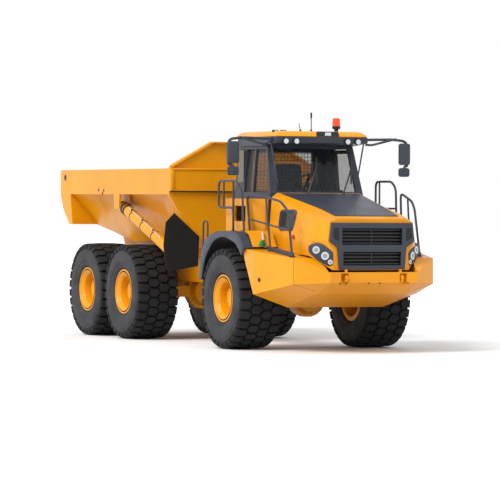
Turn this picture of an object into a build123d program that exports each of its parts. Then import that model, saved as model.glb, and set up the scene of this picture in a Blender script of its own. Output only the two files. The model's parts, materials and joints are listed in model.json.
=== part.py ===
from build123d import *
import os

# Articulated dump truck, six wheels driven: a tractor unit with the cab in front, a rear
# unit with two axles and a tipping body behind, joined by a steering and oscillating joint.
# Millimetres. +X is forward, +Y is the operator's left, +Z is up. The origin is on the
# ground at the middle of the overall length. Stations along the truck are given as a
# distance ahead of the front axle and turned into X by ahead().

os.makedirs("parts", exist_ok=True)

# Overall sizes
overall_length = 9930
front_overhang = 2500
front_axle_x = overall_length / 2 - front_overhang
mid_axle_back = 4181
track = 2260
seat_gap = 0.3
moving_gap = 10

# Tyres and rims
tyre_radius = 805
tyre_gap = 60
bogie_spread = 2 * tyre_radius + tyre_gap
tyre_width = 756
tyre_facets = 30
rim_seat_radius = 320
rim_flange_radius = 381
rim_half_width = 330
flange_width = 25
rim_lip_radius = 300
dish_radius = 270
dish_depth = 110
spindle_reach = 40
hub_radius = 185
hub_reach = 190

# Frames
rail_half_gap = 300
rail_width = 110
front_rail_bottom = 960
front_rail_top = 1220
rear_rail_bottom = 980
rear_rail_top = 1400
axle_arm_half_height = 95
axle_bowl_radius = 300
axle_bowl_depth = 130
spindle_radius = 140
beam_offset = 625
beam_width = 90

# Steering and oscillating joint
pivot_back = 1300
pivot_z = 1000
pivot_pin_radius = 70
pivot_barrel_radius = 120
pivot_lug_radius = 180
pivot_lug_thickness = 70
pivot_lug_gap = 390
oscillation_radius = 150
collar_radius = 250
bearing_fit = 0.5

# Dump body
body_half_width = 1350
rail_band_bottom = 2460
rail_band_top = 2890
body_front_back = 2470
body_tail_back = 7430
body_wall = 45
body_floor = 60
front_wall = 60
guard_top = 3340
tip_pivot_back = 6200
tip_pivot_z = 1420
tip_pin_radius = 55
tailgate_back = 7210
tailgate_z = 2755
tailgate_bore = 30

# Hoist cylinders
hoist_offset = body_half_width - 110
hoist_low_back = 2580
hoist_low_z = 1500
hoist_high_back = 4780
hoist_high_z = 2270
hoist_barrel_radius = 92
hoist_rod_radius = 50
hoist_eye_radius = 80
hoist_eye_width = 100
hoist_tube_radius = 65
hoist_pin_radius = 40

# Steering cylinders
steer_base_back = 400
steer_base_offset = 480
steer_arm_back = 60
steer_arm_offset = 400
steer_z = 880
steer_barrel_radius = 45
steer_rod_radius = 25
steer_eye_radius = 50
steer_eye_height = 80
steer_pin_radius = 20

# Cab
cab_half_width = 820
cab_top_half_width = 755
cab_floor_z = 1950
cab_wall = 50
window_bottom = 2460
roof_z = 3270
glass_thickness = 10

# Hood and nose
hood_wall = 30
hood_hinge_ahead = 2425
hood_hinge_z = 1290


def ahead(distance):
    """X of a station given as a distance ahead of the front axle."""
    return front_axle_x + distance


def prism_xz(points, y_low, y_high, mode=Mode.ADD):
    """Side outline, as (distance ahead, z), carried across from one Y to another."""
    with BuildSketch(Plane.XZ.offset(-y_high)) as outline:
        with BuildLine():
            Polyline([(ahead(x), z) for x, z in points], close=True)
        make_face()
    extrude(outline.sketch, amount=y_high - y_low, mode=mode)


def prism_xy(points, z_low, z_high, mode=Mode.ADD):
    """Plan outline, as (distance ahead, y), raised from one height to another."""
    with BuildSketch(Plane.XY.offset(z_low)) as outline:
        with BuildLine():
            Polyline([(ahead(x), y) for x, y in points], close=True)
        make_face()
    extrude(outline.sketch, amount=z_high - z_low, mode=mode)


def prism_yz(points, x_low, x_high, mode=Mode.ADD):
    """Cross outline, as (y, z), carried from one station to another."""
    with BuildSketch(Plane.YZ.offset(ahead(x_low))) as outline:
        with BuildLine():
            Polyline(points, close=True)
        make_face()
    extrude(outline.sketch, amount=x_high - x_low, mode=mode)


def block(x_low, x_high, y_low, y_high, z_low, z_high, mode=Mode.ADD):
    """Rectangular block between stations, Y values and heights."""
    corners = [(x_low, y_low), (x_high, y_low), (x_high, y_high), (x_low, y_high)]
    prism_xy(corners, z_low, z_high, mode)


def mirrored(points):
    """The points of a half outline and their mirror images, as one closed outline."""
    return points + [(-y, z) for y, z in reversed(points)]


def bar(start, end, radius, mode=Mode.ADD, sides=8):
    """Straight bar of a many-sided section between two points (distance ahead, y, z)."""
    first = Vector(ahead(start[0]), start[1], start[2])
    last = Vector(ahead(end[0]), end[1], end[2])
    with BuildSketch(Plane(origin=first, z_dir=last - first)) as ring:
        RegularPolygon(radius, sides)
    extrude(ring.sketch, amount=(last - first).length, mode=mode)


def rod(start, end, radius, mode=Mode.ADD):
    """Round bar between two points given as (distance ahead, y, z)."""
    first = Vector(ahead(start[0]), start[1], start[2])
    last = Vector(ahead(end[0]), end[1], end[2])
    with BuildSketch(Plane(origin=first, z_dir=last - first)) as ring:
        Circle(radius)
    extrude(ring.sketch, amount=(last - first).length, mode=mode)


def tube(points, radius):
    """Eight-sided bar with mitred corners along a path of points."""
    with BuildLine() as path:
        Polyline([(ahead(x), y, z) for x, y, z in points])
    with BuildSketch(Plane(origin=path.line @ 0, z_dir=path.line % 0)) as ring:
        RegularPolygon(radius, 8)
    sweep(ring.sketch, path=path.line, transition=Transition.RIGHT)


def loft_sections(sections, mode=Mode.ADD):
    """Straight-sided loft through (station, half outline) pairs, mirrored about Y=0."""
    faces = []
    for station, half in sections:
        with BuildSketch(Plane.YZ.offset(ahead(station))) as section:
            with BuildLine():
                Polyline(mirrored(half), close=True)
            make_face()
        faces.append(section.sketch)
    loft(faces, ruled=True, mode=mode)


# Wheels. Columns: name, distance ahead of the front axle, side.
wheels = [
    ("front_right", 0, -1),
    ("front_left", 0, 1),
    ("mid_right", -mid_axle_back, -1),
    ("mid_left", -mid_axle_back, 1),
    ("rear_right", -mid_axle_back - bogie_spread, -1),
    ("rear_left", -mid_axle_back - bogie_spread, 1),
]

# Tyre sections. Columns: distance from the wheel's middle plane, distance of the flats
# from the axle.
bead_half_width = rim_half_width - flange_width - 3
tyre_sections = [
    (-bead_half_width, 392),
    (-tyre_width / 2, 520),
    (-tyre_width / 2 + 10, 700),
    (-tyre_width / 2 + 60, tyre_radius),
    (tyre_width / 2 - 60, tyre_radius),
    (tyre_width / 2 - 10, 700),
    (tyre_width / 2, 520),
    (bead_half_width, 392),
]

# Rim sections. Columns: distance outwards from the wheel's middle plane, distance of the
# flats from the axle.
rim_barrel = [
    (-bead_half_width, rim_seat_radius),
    (rim_half_width - flange_width, rim_seat_radius),
    (rim_half_width - flange_width, rim_flange_radius),
    (rim_half_width, rim_flange_radius),
]
rim_dish = [(rim_half_width, rim_lip_radius), (dish_depth, dish_radius)]
hub_sides = 16


def wheel_plane(station, side, out):
    """Plane across a wheel's axle, at a distance outwards from the wheel's middle plane."""
    return Plane(
        origin=(ahead(station), side * (track / 2 + out), tyre_radius),
        x_dir=(1, 0, 0),
        z_dir=(0, side, 0),
    )


def wheel_prism(station, side, low, high, radius, sides, mode=Mode.ADD):
    """Many-sided prism about a wheel's axle, between two distances outwards."""
    with BuildSketch(wheel_plane(station, side, low)) as outline:
        RegularPolygon(radius, sides, major_radius=False)
    extrude(outline.sketch, amount=high - low, mode=mode)


def wheel_round(station, side, low, high, radius, mode=Mode.ADD):
    """Round bar about a wheel's axle, between two distances outwards."""
    with BuildSketch(wheel_plane(station, side, low)) as outline:
        Circle(radius)
    extrude(outline.sketch, amount=high - low, mode=mode)


def wheel_loft(station, side, sections, mode=Mode.ADD):
    """Straight-sided loft of many-sided sections about a wheel's axle."""
    faces = []
    for out, radius in sections:
        with BuildSketch(wheel_plane(station, side, out)) as outline:
            RegularPolygon(radius, tyre_facets, major_radius=False)
        faces.append(outline.sketch)
    loft(faces, ruled=True, mode=mode)


for name, station, side in wheels:
    with BuildPart() as tyre:
        wheel_loft(station, side, tyre_sections)
        bore = rim_seat_radius + seat_gap
        wheel_prism(station, side, -rim_half_width, rim_half_width, bore, tyre_facets, Mode.SUBTRACT)
    tyre.part.label = f"tyre_{name}"
    export_step(tyre.part, f"parts/tyre_{name}.step")

    with BuildPart() as rim:
        for low, high in zip(rim_barrel[::2], rim_barrel[1::2]):
            wheel_prism(station, side, low[0], high[0], high[1], tyre_facets)
        wheel_loft(station, side, rim_dish, Mode.SUBTRACT)
        wheel_prism(station, side, dish_depth - 10, hub_reach, hub_radius, hub_sides)
        hub_bore = spindle_radius + bearing_fit
        wheel_round(station, side, -rim_half_width, spindle_reach, hub_bore, Mode.SUBTRACT)
    rim.part.label = f"rim_{name}"
    export_step(rim.part, f"parts/rim_{name}.step")

# Axles: a housing with a round middle for the gears, spindles that face the hubs, and the
# seats that carry the frame or the bogie beams.
# Columns: name, distance ahead, offset of the seats, height of the seats.
beam_seat_z = tyre_radius + axle_arm_half_height + 15
axles = [
    ("front_axle", 0, rail_half_gap + rail_width / 2, front_rail_bottom - seat_gap),
    ("mid_axle", -mid_axle_back, beam_offset, beam_seat_z),
    ("rear_axle", -mid_axle_back - bogie_spread, beam_offset, beam_seat_z),
]
arm_end = track / 2 - rim_half_width + 20
bowl_sides = 18
for name, station, seat_y, seat_z in axles:
    with BuildPart() as axle:
        with BuildSketch(Plane.YZ.offset(ahead(station) - axle_arm_half_height)):
            with Locations((0, tyre_radius)):
                Rectangle(2 * arm_end, 2 * axle_arm_half_height)
                RegularPolygon(axle_bowl_radius, bowl_sides, major_radius=False)
        extrude(amount=2 * axle_arm_half_height)
        for facing in (-1, 1):
            bowl_plane = Plane(
                origin=(ahead(station + facing * axle_arm_half_height), 0, tyre_radius),
                z_dir=(facing, 0, 0),
            )
            with BuildSketch(bowl_plane) as bowl:
                RegularPolygon(axle_bowl_radius - 40, bowl_sides, major_radius=False)
            extrude(bowl.sketch, amount=axle_bowl_depth, taper=18)
        for side in (-1, 1):
            spindle_base = arm_end - track / 2
            tip = spindle_reach - seat_gap
            wheel_round(station, side, spindle_base, tip, spindle_radius)
            block(
                station - 90,
                station + 90,
                side * seat_y - 45,
                side * seat_y + 45,
                tyre_radius,
                seat_z,
            )
    axle.part.label = name
    export_step(axle.part, f"parts/{name}.step")

# Front frame: two rails, cross members, cab towers, outriggers for the mudguards and the
# side boxes, and the double lug of the steering joint.
rail_outer = rail_half_gap + rail_width
lug_low_z = pivot_z - pivot_lug_gap / 2 - pivot_lug_thickness
lug_high_z = pivot_z + pivot_lug_gap / 2
frame_tail_back = 800
tail_plate_half_width = 240
tower_stations = (-150, 335)
cab_foot_stations = (-780, 320)
frame_nose_ahead = 2000
nose_member = 100
mudguard_top = 1880
mudguard_plate = 25
box_inner_y = 850
bumper_wall_y = 800
with BuildPart() as front_frame:
    for side in (-1, 1):
        edges = sorted((side * rail_half_gap, side * rail_outer))
        block(-frame_tail_back, frame_nose_ahead, *edges, front_rail_bottom, front_rail_top)
        for tower_rear in tower_stations:
            tower_top = mudguard_top - mudguard_plate - seat_gap
            block(tower_rear, tower_rear + 80, *edges, front_rail_top, tower_top)
        for tower_rear in cab_foot_stations:
            block(tower_rear, tower_rear + 110, *edges, front_rail_top, cab_floor_z - seat_gap)
        edges = sorted((side * rail_outer, side * (bumper_wall_y - seat_gap)))
        block(1300, 1420, *edges, 1000, 1180)
    member_rear = frame_nose_ahead - nose_member
    block(member_rear, frame_nose_ahead, -rail_outer, rail_outer, front_rail_bottom, front_rail_top)
    for bar_rear in tower_stations:
        under = mudguard_top - mudguard_plate - seat_gap
        block(bar_rear, bar_rear + 80, -1300, 1300, under - 70, under)
    block(-frame_tail_back, -frame_tail_back + 120, -rail_outer, rail_outer, 960, 1220)
    block(
        -frame_tail_back - 200,
        -frame_tail_back,
        -tail_plate_half_width,
        tail_plate_half_width,
        lug_low_z,
        lug_high_z + pivot_lug_thickness,
    )
    for lug_z in (lug_low_z, lug_high_z):
        with BuildSketch(Plane.XY.offset(lug_z)):
            with BuildLine():
                Polyline(
                    (ahead(-frame_tail_back - 100), -tail_plate_half_width),
                    (ahead(-pivot_back), -pivot_lug_radius),
                    (ahead(-pivot_back), pivot_lug_radius),
                    (ahead(-frame_tail_back - 100), tail_plate_half_width),
                    close=True,
                )
            make_face()
            with Locations((ahead(-pivot_back), 0)):
                RegularPolygon(pivot_lug_radius, 16)
                Circle(pivot_pin_radius + bearing_fit, mode=Mode.SUBTRACT)
        extrude(amount=pivot_lug_thickness)
front_frame.part.label = "front_frame"
export_step(front_frame.part, "parts/front_frame.step")

# Steering plate: a cross plate under the rails with the base pins of the steering cylinders.
plate_half_length = 60
with BuildPart() as steering_plate:
    plate_z = steer_z + steer_eye_height / 2 + moving_gap
    plate_top = front_rail_bottom - seat_gap
    plate_reach = steer_base_offset + plate_half_length
    plate_rear = -steer_base_back - plate_half_length
    plate_front = -steer_base_back + plate_half_length
    block(plate_rear, plate_front, -plate_reach, plate_reach, plate_z, plate_top)
    for side in (-1, 1):
        base = (-steer_base_back, side * steer_base_offset)
        pin_low = steer_z - steer_eye_height / 2 - 5
        rod((*base, pin_low), (*base, plate_top), steer_pin_radius)
steering_plate.part.label = "steering_plate"
export_step(steering_plate.part, "parts/steering_plate.step")

# Engine: one plain block at its real place, seated on the rails.
with BuildPart() as engine_block:
    block(520, 1750, -rail_half_gap + 20, rail_half_gap - 20, 1000, 1880)
    block(520, 1750, -rail_outer, rail_outer, front_rail_top + seat_gap, 1880)
    chamfer(engine_block.edges().group_by(Axis.Z)[-1], 60)
engine_block.part.label = "engine_block"
export_step(engine_block.part, "parts/engine_block.step")

# Hood sections. Columns: distance ahead, then half width and height at the lower edge, at
# the shoulder and at the edge of the top.
hood_sections = [
    (450, 880, 1500, 820, 2420, 725, 2490),
    (1750, 905, 1440, 800, 2165, 600, 2235),
    (2330, 745, 1300, 700, 2030, 560, 2095),
]
hood_room = 25
hood_pocket = [(section[0], section[1] + hood_room) for section in hood_sections]
hood_pocket = [(600, hood_pocket[0][1])] + hood_pocket[1:] + [(2480, hood_pocket[2][1])]
hood_pocket_floor = hood_hinge_z - 20

# Front bumper and side boxes: one faceted body cut at its seams. Its plan narrows to the
# nose, its underside rises to the nose, and a bevel joins its sides to its underside.
box_rear_ahead = 700
seam_ahead = 2100
nose_ahead = 2460
box_rear_y = 1430
seam_y = 1205
nose_y = 745
belly_plate = 35
tow_eye_bore = 24
tow_eye_radius = 54
tow_eye_middle = 477
tow_eye_thickness = 30
tow_eye_z = 1172
tow_pocket_depth = 90
tow_pocket_inside = 20
tow_pocket_outside = 75
knee_rear = (1100, box_rear_y, 900)
knee_seam = (seam_ahead, seam_y, 1080)
knee_nose = (nose_ahead, nose_y, 1106)
belly_rear = (1100, 836, 690)
belly_seam = (2030, 765, 925)
box_top = [(box_rear_ahead, 1615), (seam_ahead, 1480), (nose_ahead, 1267)]
bevel_corners = [
    (knee_rear, knee_seam, belly_rear),
    (knee_seam, knee_nose, belly_seam),
]


def bumper_body():
    """The whole faceted body, from the wheels to the nose, added to the part being built."""
    plan = [
        (box_rear_ahead, box_rear_y),
        (knee_rear[0], box_rear_y),
        (seam_ahead, seam_y),
        (nose_ahead, nose_y),
    ]
    side_view = [
        box_top[0],
        (box_rear_ahead + 60, 1450),
        (knee_rear[0], knee_rear[2]),
        (belly_rear[0], belly_rear[2]),
        (belly_seam[0], belly_seam[2]),
        (nose_ahead, knee_nose[2]),
        box_top[2],
        box_top[1],
    ]
    prism_xy(plan + [(x, -y) for x, y in reversed(plan)], 600, 1700)
    prism_xz(side_view, -box_rear_y, box_rear_y, Mode.INTERSECT)
    for side in (-1, 1):
        for corner in bevel_corners:
            spots = [Vector(ahead(x), side * y, z) for x, y, z in corner]
            normal = (spots[1] - spots[0]).cross(spots[2] - spots[0]).normalized()
            if normal.Z > 0:
                normal = -normal
            split(bisect_by=Plane(spots[0], z_dir=normal), keep=Keep.BOTTOM)
    pocket = hood_pocket + [(x, -y) for x, y in reversed(hood_pocket)]
    prism_xy(pocket, hood_pocket_floor, 1800, Mode.SUBTRACT)


# The middle of the bumper with the belly plate, the hinge lugs of the hood and the tow eyes.
with BuildPart() as front_bumper:
    bumper_body()
    for side in (-1, 1):
        edges = sorted((side * (box_inner_y - seat_gap), side * 1600))
        block(600, seam_ahead + seat_gap, *edges, 500, 1800, Mode.SUBTRACT)
    room = (-bumper_wall_y, bumper_wall_y)
    block(600, frame_nose_ahead + seat_gap, *room, front_rail_bottom - seat_gap, 1800, Mode.SUBTRACT)
    plate_top = [
        (600, belly_rear[2] + belly_plate),
        (belly_rear[0], belly_rear[2] + belly_plate),
        (belly_seam[0], belly_seam[2] + belly_plate),
        (belly_seam[0], 1000),
        (600, 1000),
    ]
    prism_xz(plate_top, *room, Mode.SUBTRACT)
    for side in (-1, 1):
        edges = sorted((side * 452, side * 480))
        with BuildSketch(Plane.XZ.offset(-edges[1])):
            with Locations((ahead(hood_hinge_ahead), hood_hinge_z)):
                Rectangle(48, 48)
            with Locations((ahead(hood_hinge_ahead), hood_hinge_z - 24)):
                Rectangle(48, 48)
            with Locations((ahead(hood_hinge_ahead), hood_hinge_z)):
                Circle(12 + bearing_fit, mode=Mode.SUBTRACT)
        extrude(amount=edges[1] - edges[0])
        eye_inner = tow_eye_middle - tow_eye_thickness / 2
        eye_outer = tow_eye_middle + tow_eye_thickness / 2
        pocket = sorted((side * (eye_inner - tow_pocket_inside), side * (eye_outer + tow_pocket_outside)))
        pocket_rear = nose_ahead - tow_pocket_depth
        block(pocket_rear, nose_ahead + 10, *pocket, 1000, tow_eye_z + tow_eye_radius + 25, Mode.SUBTRACT)
        eye = sorted((side * eye_inner, side * eye_outer))
        eye_ahead = nose_ahead - 12
        with BuildSketch(Plane.XZ.offset(-eye[1])):
            with Locations((ahead(eye_ahead), tow_eye_z)):
                RegularPolygon(tow_eye_radius, 10)
            root = (eye_ahead + pocket_rear - 10) / 2
            with Locations((ahead(root), tow_eye_z)):
                Rectangle(eye_ahead - pocket_rear + 10, 2 * tow_eye_radius - 8)
            with Locations((ahead(eye_ahead), tow_eye_z)):
                Circle(tow_eye_bore, mode=Mode.SUBTRACT)
        extrude(amount=eye[1] - eye[0])
front_bumper.part.label = "front_bumper"
export_step(front_bumper.part, "parts/front_bumper.step")

for side_name, side in (("right", -1), ("left", 1)):
    with BuildPart() as side_box:
        bumper_body()
        inner = sorted((side * box_inner_y, -side * 1600))
        block(600, 2600, *inner, 500, 1800, Mode.SUBTRACT)
        block(seam_ahead - seat_gap, 2600, -1600, 1600, 500, 1800, Mode.SUBTRACT)
        bar((1250, side * 1250, 1130), (1250, side * 1500, 1130), 32, Mode.SUBTRACT)
        if side == 1:
            for step_z in (1330, 1080):
                block(1180, 1620, 1180, 1500, step_z, step_z + 190, Mode.SUBTRACT)
    side_box.part.label = f"side_box_{side_name}"
    export_step(side_box.part, f"parts/side_box_{side_name}.step")

# Front mudguards: a bent plate over each front wheel with a deep outer lip.
mudguard_outline = [(-900, 1090), (-820, 1550), (-240, mudguard_top), (580, mudguard_top)]
mudguard_outline += [(860, 1630)]
mudguard_inner = [(760, 1500), (430, 1700), (60, 1760), (-300, 1700), (-650, 1370)]
mudguard_inner += [(-760, 1090)]
mudguard_outer_y = 1490
mudguard_inner_y = 905
for side_name, side in (("right", -1), ("left", 1)):
    with BuildPart() as mudguard:
        lip = sorted((side * (mudguard_outer_y - 30), side * mudguard_outer_y))
        prism_xz(mudguard_outline + mudguard_inner, *lip)
        sheet = mudguard_outline + [(841, 1613), (570, 1855), (-233, 1855)]
        sheet += [(-797, 1536), (-875, 1090)]
        whole = sorted((side * mudguard_inner_y, side * mudguard_outer_y))
        prism_xz(sheet, *whole)
    mudguard.part.label = f"mudguard_{side_name}"
    export_step(mudguard.part, f"parts/mudguard_{side_name}.step")

# Cab: outlines of its side view and of its half front view, and the openings in them.
cab_side = [
    (-1000, cab_floor_z),
    (440, cab_floor_z),
    (385, 2490),
    (115, roof_z),
    (-930, roof_z),
    (-1000, 2500),
]
cab_front = [
    (cab_half_width, cab_floor_z),
    (cab_half_width, 2460),
    (cab_top_half_width, roof_z),
]
side_panes = [
    [(325, 2500), (105, 3190), (-280, 3190), (-280, 2500)],
    [(-315, 2500), (-315, 3190), (-640, 3190), (-640, 2500)],
]
windscreen_outline = [(700, 2510), (655, 3200)]
rear_pane_outline = [(560, 2520), (530, 3150)]
door_outline = [(-520, 1990), (380, 1990), (328, 2500), (100, 3200), (-520, 3200)]
door_leaf = [(-510, 2000), (368, 2000), (316, 2500), (80, 3190), (-510, 3190)]
door_pane = [(-450, 2500), (245, 2500), (40, 3130), (-450, 3130)]
door_hinge_back = 524
door_hinge_y = 850
door_hinge_heights = (2080, 2380)
door_pin_radius = 11
door_knuckle_radius = 24
pane_gap = 0.3


def cab_solid(inset):
    """The closed outer form of the cab, drawn in all round by a given depth."""
    with BuildPart() as solid:
        with BuildSketch(Plane.XZ.offset(-1000)) as side_view:
            with BuildLine():
                Polyline([(ahead(x), z) for x, z in cab_side], close=True)
            make_face()
            if inset > 0:
                offset(amount=-inset, kind=Kind.INTERSECTION)
        extrude(side_view.sketch, amount=2000)
        with BuildSketch(Plane.YZ.offset(ahead(-1200))) as front_view:
            with BuildLine():
                Polyline(mirrored(cab_front), close=True)
            make_face()
            if inset > 0:
                offset(amount=-inset, kind=Kind.INTERSECTION)
        extrude(front_view.sketch, amount=2000, mode=Mode.INTERSECT)
    return solid.part


def window_prism(outline, shrink, low, high, across, mode):
    """An opening's outline, drawn in by a gap, as a prism along Y or along X."""
    flat = Plane.XZ.offset(-high) if across == "y" else Plane.YZ.offset(ahead(low))
    points = [(ahead(x), z) for x, z in outline] if across == "y" else mirrored(outline)
    with BuildSketch(flat) as opening:
        with BuildLine():
            Polyline(points, close=True)
        make_face()
        if shrink > 0:
            offset(amount=-shrink, kind=Kind.INTERSECTION)
    extrude(opening.sketch, amount=high - low, mode=mode)


with BuildPart() as cab_shell:
    add(cab_solid(0))
    visor = [(0, 3240), (540, 3285), (570, 3385), (-920, 3385), (-930, roof_z - 20)]
    prism_xz(visor, -800, 800)
    add(cab_solid(cab_wall), mode=Mode.SUBTRACT)
    for pane in side_panes:
        window_prism(pane, 0, -1000, -500, "y", Mode.SUBTRACT)
    window_prism(door_outline, 0, 500, 1000, "y", Mode.SUBTRACT)
    window_prism(windscreen_outline, 0, 0, 600, "x", Mode.SUBTRACT)
    window_prism(rear_pane_outline, 0, -1200, -700, "x", Mode.SUBTRACT)
    for hinge_z in door_hinge_heights:
        bracket_rear = -door_hinge_back - door_knuckle_radius
        bracket_outer = door_hinge_y + door_knuckle_radius - 4
        block(bracket_rear, -door_hinge_back, 790, bracket_outer, hinge_z - 30, hinge_z)
        pin = (-door_hinge_back, door_hinge_y)
        bar((*pin, hinge_z - 30), (*pin, hinge_z), door_knuckle_radius - 4)
        rod((*pin, hinge_z - 10), (*pin, hinge_z + 45), door_pin_radius)
cab_shell.part.label = "cab_shell"
export_step(cab_shell.part, "parts/cab_shell.step")

# Panes lie inside the thickness of the walls.
pane_depth = (cab_wall - glass_thickness) / 2
panes = [
    ("windscreen", [windscreen_outline], 0, 600, "x"),
    ("rear_glass", [rear_pane_outline], -1200, -700, "x"),
    ("side_glass_front", [side_panes[0]], -1000, -500, "y"),
    ("side_glass_rear", [side_panes[1]], -1000, -500, "y"),
]
for name, outlines, low, high, across in panes:
    with BuildPart() as pane:
        add(cab_solid(pane_depth))
        add(cab_solid(pane_depth + glass_thickness), mode=Mode.SUBTRACT)
        window_prism(outlines[0], pane_gap, low, high, across, Mode.INTERSECT)
    pane.part.label = name
    export_step(pane.part, f"parts/{name}.step")

# Cab door on the left, with its own pane.
with BuildPart() as cab_door:
    add(cab_solid(0))
    add(cab_solid(cab_wall), mode=Mode.SUBTRACT)
    window_prism(door_leaf, 0, 500, 1000, "y", Mode.INTERSECT)
    window_prism(door_pane, 0, 500, 1000, "y", Mode.SUBTRACT)
    for hinge_z in door_hinge_heights:
        knuckle = (hinge_z + 2, hinge_z + 40)
        pin = (-door_hinge_back, door_hinge_y)
        bar((*pin, knuckle[0]), (*pin, knuckle[1]), door_knuckle_radius)
        block(-door_hinge_back, -440, door_hinge_y - 20, door_hinge_y + 20, *knuckle)
        block(-500, -440, 800, door_hinge_y, *knuckle)
        pin_bore = door_pin_radius + bearing_fit
        rod((*pin, knuckle[0] - 5), (*pin, knuckle[1] + 5), pin_bore, Mode.SUBTRACT)
cab_door.part.label = "cab_door"
export_step(cab_door.part, "parts/cab_door.step")

with BuildPart() as door_glass:
    add(cab_solid(pane_depth))
    add(cab_solid(pane_depth + glass_thickness), mode=Mode.SUBTRACT)
    window_prism(door_pane, pane_gap, 500, 1000, "y", Mode.INTERSECT)
door_glass.part.label = "door_glass"
export_step(door_glass.part, "parts/door_glass.step")

# Roof cap with the aerial, and the beacon on it.
roof_base = 3385
with BuildPart() as cab_roof:
    cap = [(-985, roof_base + seat_gap), (600, roof_base + seat_gap), (585, 3415)]
    cap += [(300, 3478), (-700, 3478), (-965, 3425)]
    prism_xz(cap, -885, 885)
    crown = [(880, roof_base), (890, 3405), (800, 3480)]
    prism_yz(mirrored(crown), -1100, 700, Mode.INTERSECT)
    bar((-200, 170, 3470), (-200, 170, 3500), 22)
    bar((-200, 170, 3490), (-200, 170, 3790), 7)
cab_roof.part.label = "cab_roof"
export_step(cab_roof.part, "parts/cab_roof.step")

with BuildPart() as beacon:
    bar((-200, 620, 3478 + seat_gap), (-200, 620, 3530), 35)
    bar((-200, 620, 3530), (-200, 620, 3585), 75, sides=16)
    bar((-200, 620, 3585), (-200, 620, 3710), 62, sides=16)
beacon.part.label = "beacon"
export_step(beacon.part, "parts/beacon.step")

# Operator's seat and the dashboard with the steering wheel.
seat_floor = cab_floor_z + cab_wall + seat_gap
with BuildPart() as operator_seat:
    block(-640, -200, -180, 180, seat_floor, 2250)
    block(-680, -120, -250, 250, 2250, 2400)
    prism_xz([(-680, 2380), (-560, 2380), (-640, 3000), (-740, 3000)], -240, 240)
operator_seat.part.label = "operator_seat"
export_step(operator_seat.part, "parts/operator_seat.step")

with BuildPart() as dashboard:
    prism_xz([(180, seat_floor), (370, seat_floor), (330, 2440), (160, 2540)], -560, 560)
    bar((200, 0, 2440), (10, 0, 2665), 35)
    column_top = Plane(origin=(ahead(10), 0, 2650), z_dir=(-0.65, 0, 0.76))
    with BuildSketch(column_top) as rim_face:
        RegularPolygon(215, 16)
        RegularPolygon(190, 16, mode=Mode.SUBTRACT)
        Rectangle(390, 40)
    extrude(rim_face.sketch, amount=22)
dashboard.part.label = "dashboard"
export_step(dashboard.part, "parts/dashboard.step")

# Side cover beside the cab on the right, with its air opening.
with BuildPart() as side_cover_right:
    cover_plan = [(-700, -842), (370, -842), (370, -900), (170, -1150), (-590, -1150)]
    prism_xy(cover_plan + [(-700, -1060)], mudguard_top + seat_gap, 2395)
    inner_plan = [(-670, -842), (340, -842), (340, -890), (156, -1120), (-580, -1120)]
    prism_xy(inner_plan + [(-670, -1045)], mudguard_top, 2365, Mode.SUBTRACT)
    block(-250, 170, -1200, -1100, 2035, 2280, Mode.SUBTRACT)
side_cover_right.part.label = "side_cover_right"
export_step(side_cover_right.part, "parts/side_cover_right.step")

# Handrails. Each side is one welded piece: bent tubes, straight bars and a foot strip.
rail_tube = 19
rail_bar = 16
right_loop_y = -1250
right_walk_y = -1150
left_loop_y = 1050
left_walk_y = 1100


def deck_z(distance):
    """Height of the side box's top at a distance ahead of the front axle."""
    rise = (box_top[1][1] - box_top[0][1]) / (box_top[1][0] - box_top[0][0])
    return box_top[0][1] + rise * (distance - box_top[0][0])


def foot_strip(rear, front, y, width):
    """A flat strip along the side box's top that carries the feet of a handrail."""
    low = [(rear, deck_z(rear) + seat_gap), (front, deck_z(front) + seat_gap)]
    prism_xz(low + [(x, z + 14) for x, z in reversed(low)], y - width / 2, y + width / 2)


guard_foot = mudguard_top + seat_gap
with BuildPart() as handrail_right:
    loop = [(-80, 2250), (-660, 2250), (-660, 2680), (20, 2680), (260, 2500), (340, guard_foot + 6)]
    tube([(x, right_loop_y, z) for x, z in loop], rail_tube)
    bar((-460, right_loop_y, guard_foot), (-460, right_loop_y, 2680), rail_bar)
    bar((-80, right_loop_y, guard_foot), (-80, right_loop_y, 2680), 28)
    walk = [(340, guard_foot + 6), (225, 2450), (940, 2425), (1500, 2350), (1770, 2200)]
    walk += [(1925, deck_z(1925) + 10)]
    tube([(x, right_walk_y, z) for x, z in walk], rail_tube)
    bar((940, right_walk_y, 2425), (1130, right_walk_y, deck_z(1130) + 10), rail_bar)
    bar((301, right_walk_y, 2075), (1835, right_walk_y, 1900), rail_bar)
    foot_strip(1050, 1980, right_walk_y, 80)
    block(250, 400, right_loop_y - 40, right_walk_y + 40, guard_foot, guard_foot + 12)
    block(-520, -20, right_loop_y - 40, right_loop_y + 40, guard_foot, guard_foot + 12)
    block(-30, 260, right_loop_y - 15, right_loop_y + 15, guard_foot, guard_foot + 12)
handrail_right.part.label = "handrail_right"
export_step(handrail_right.part, "parts/handrail_right.step")

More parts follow.
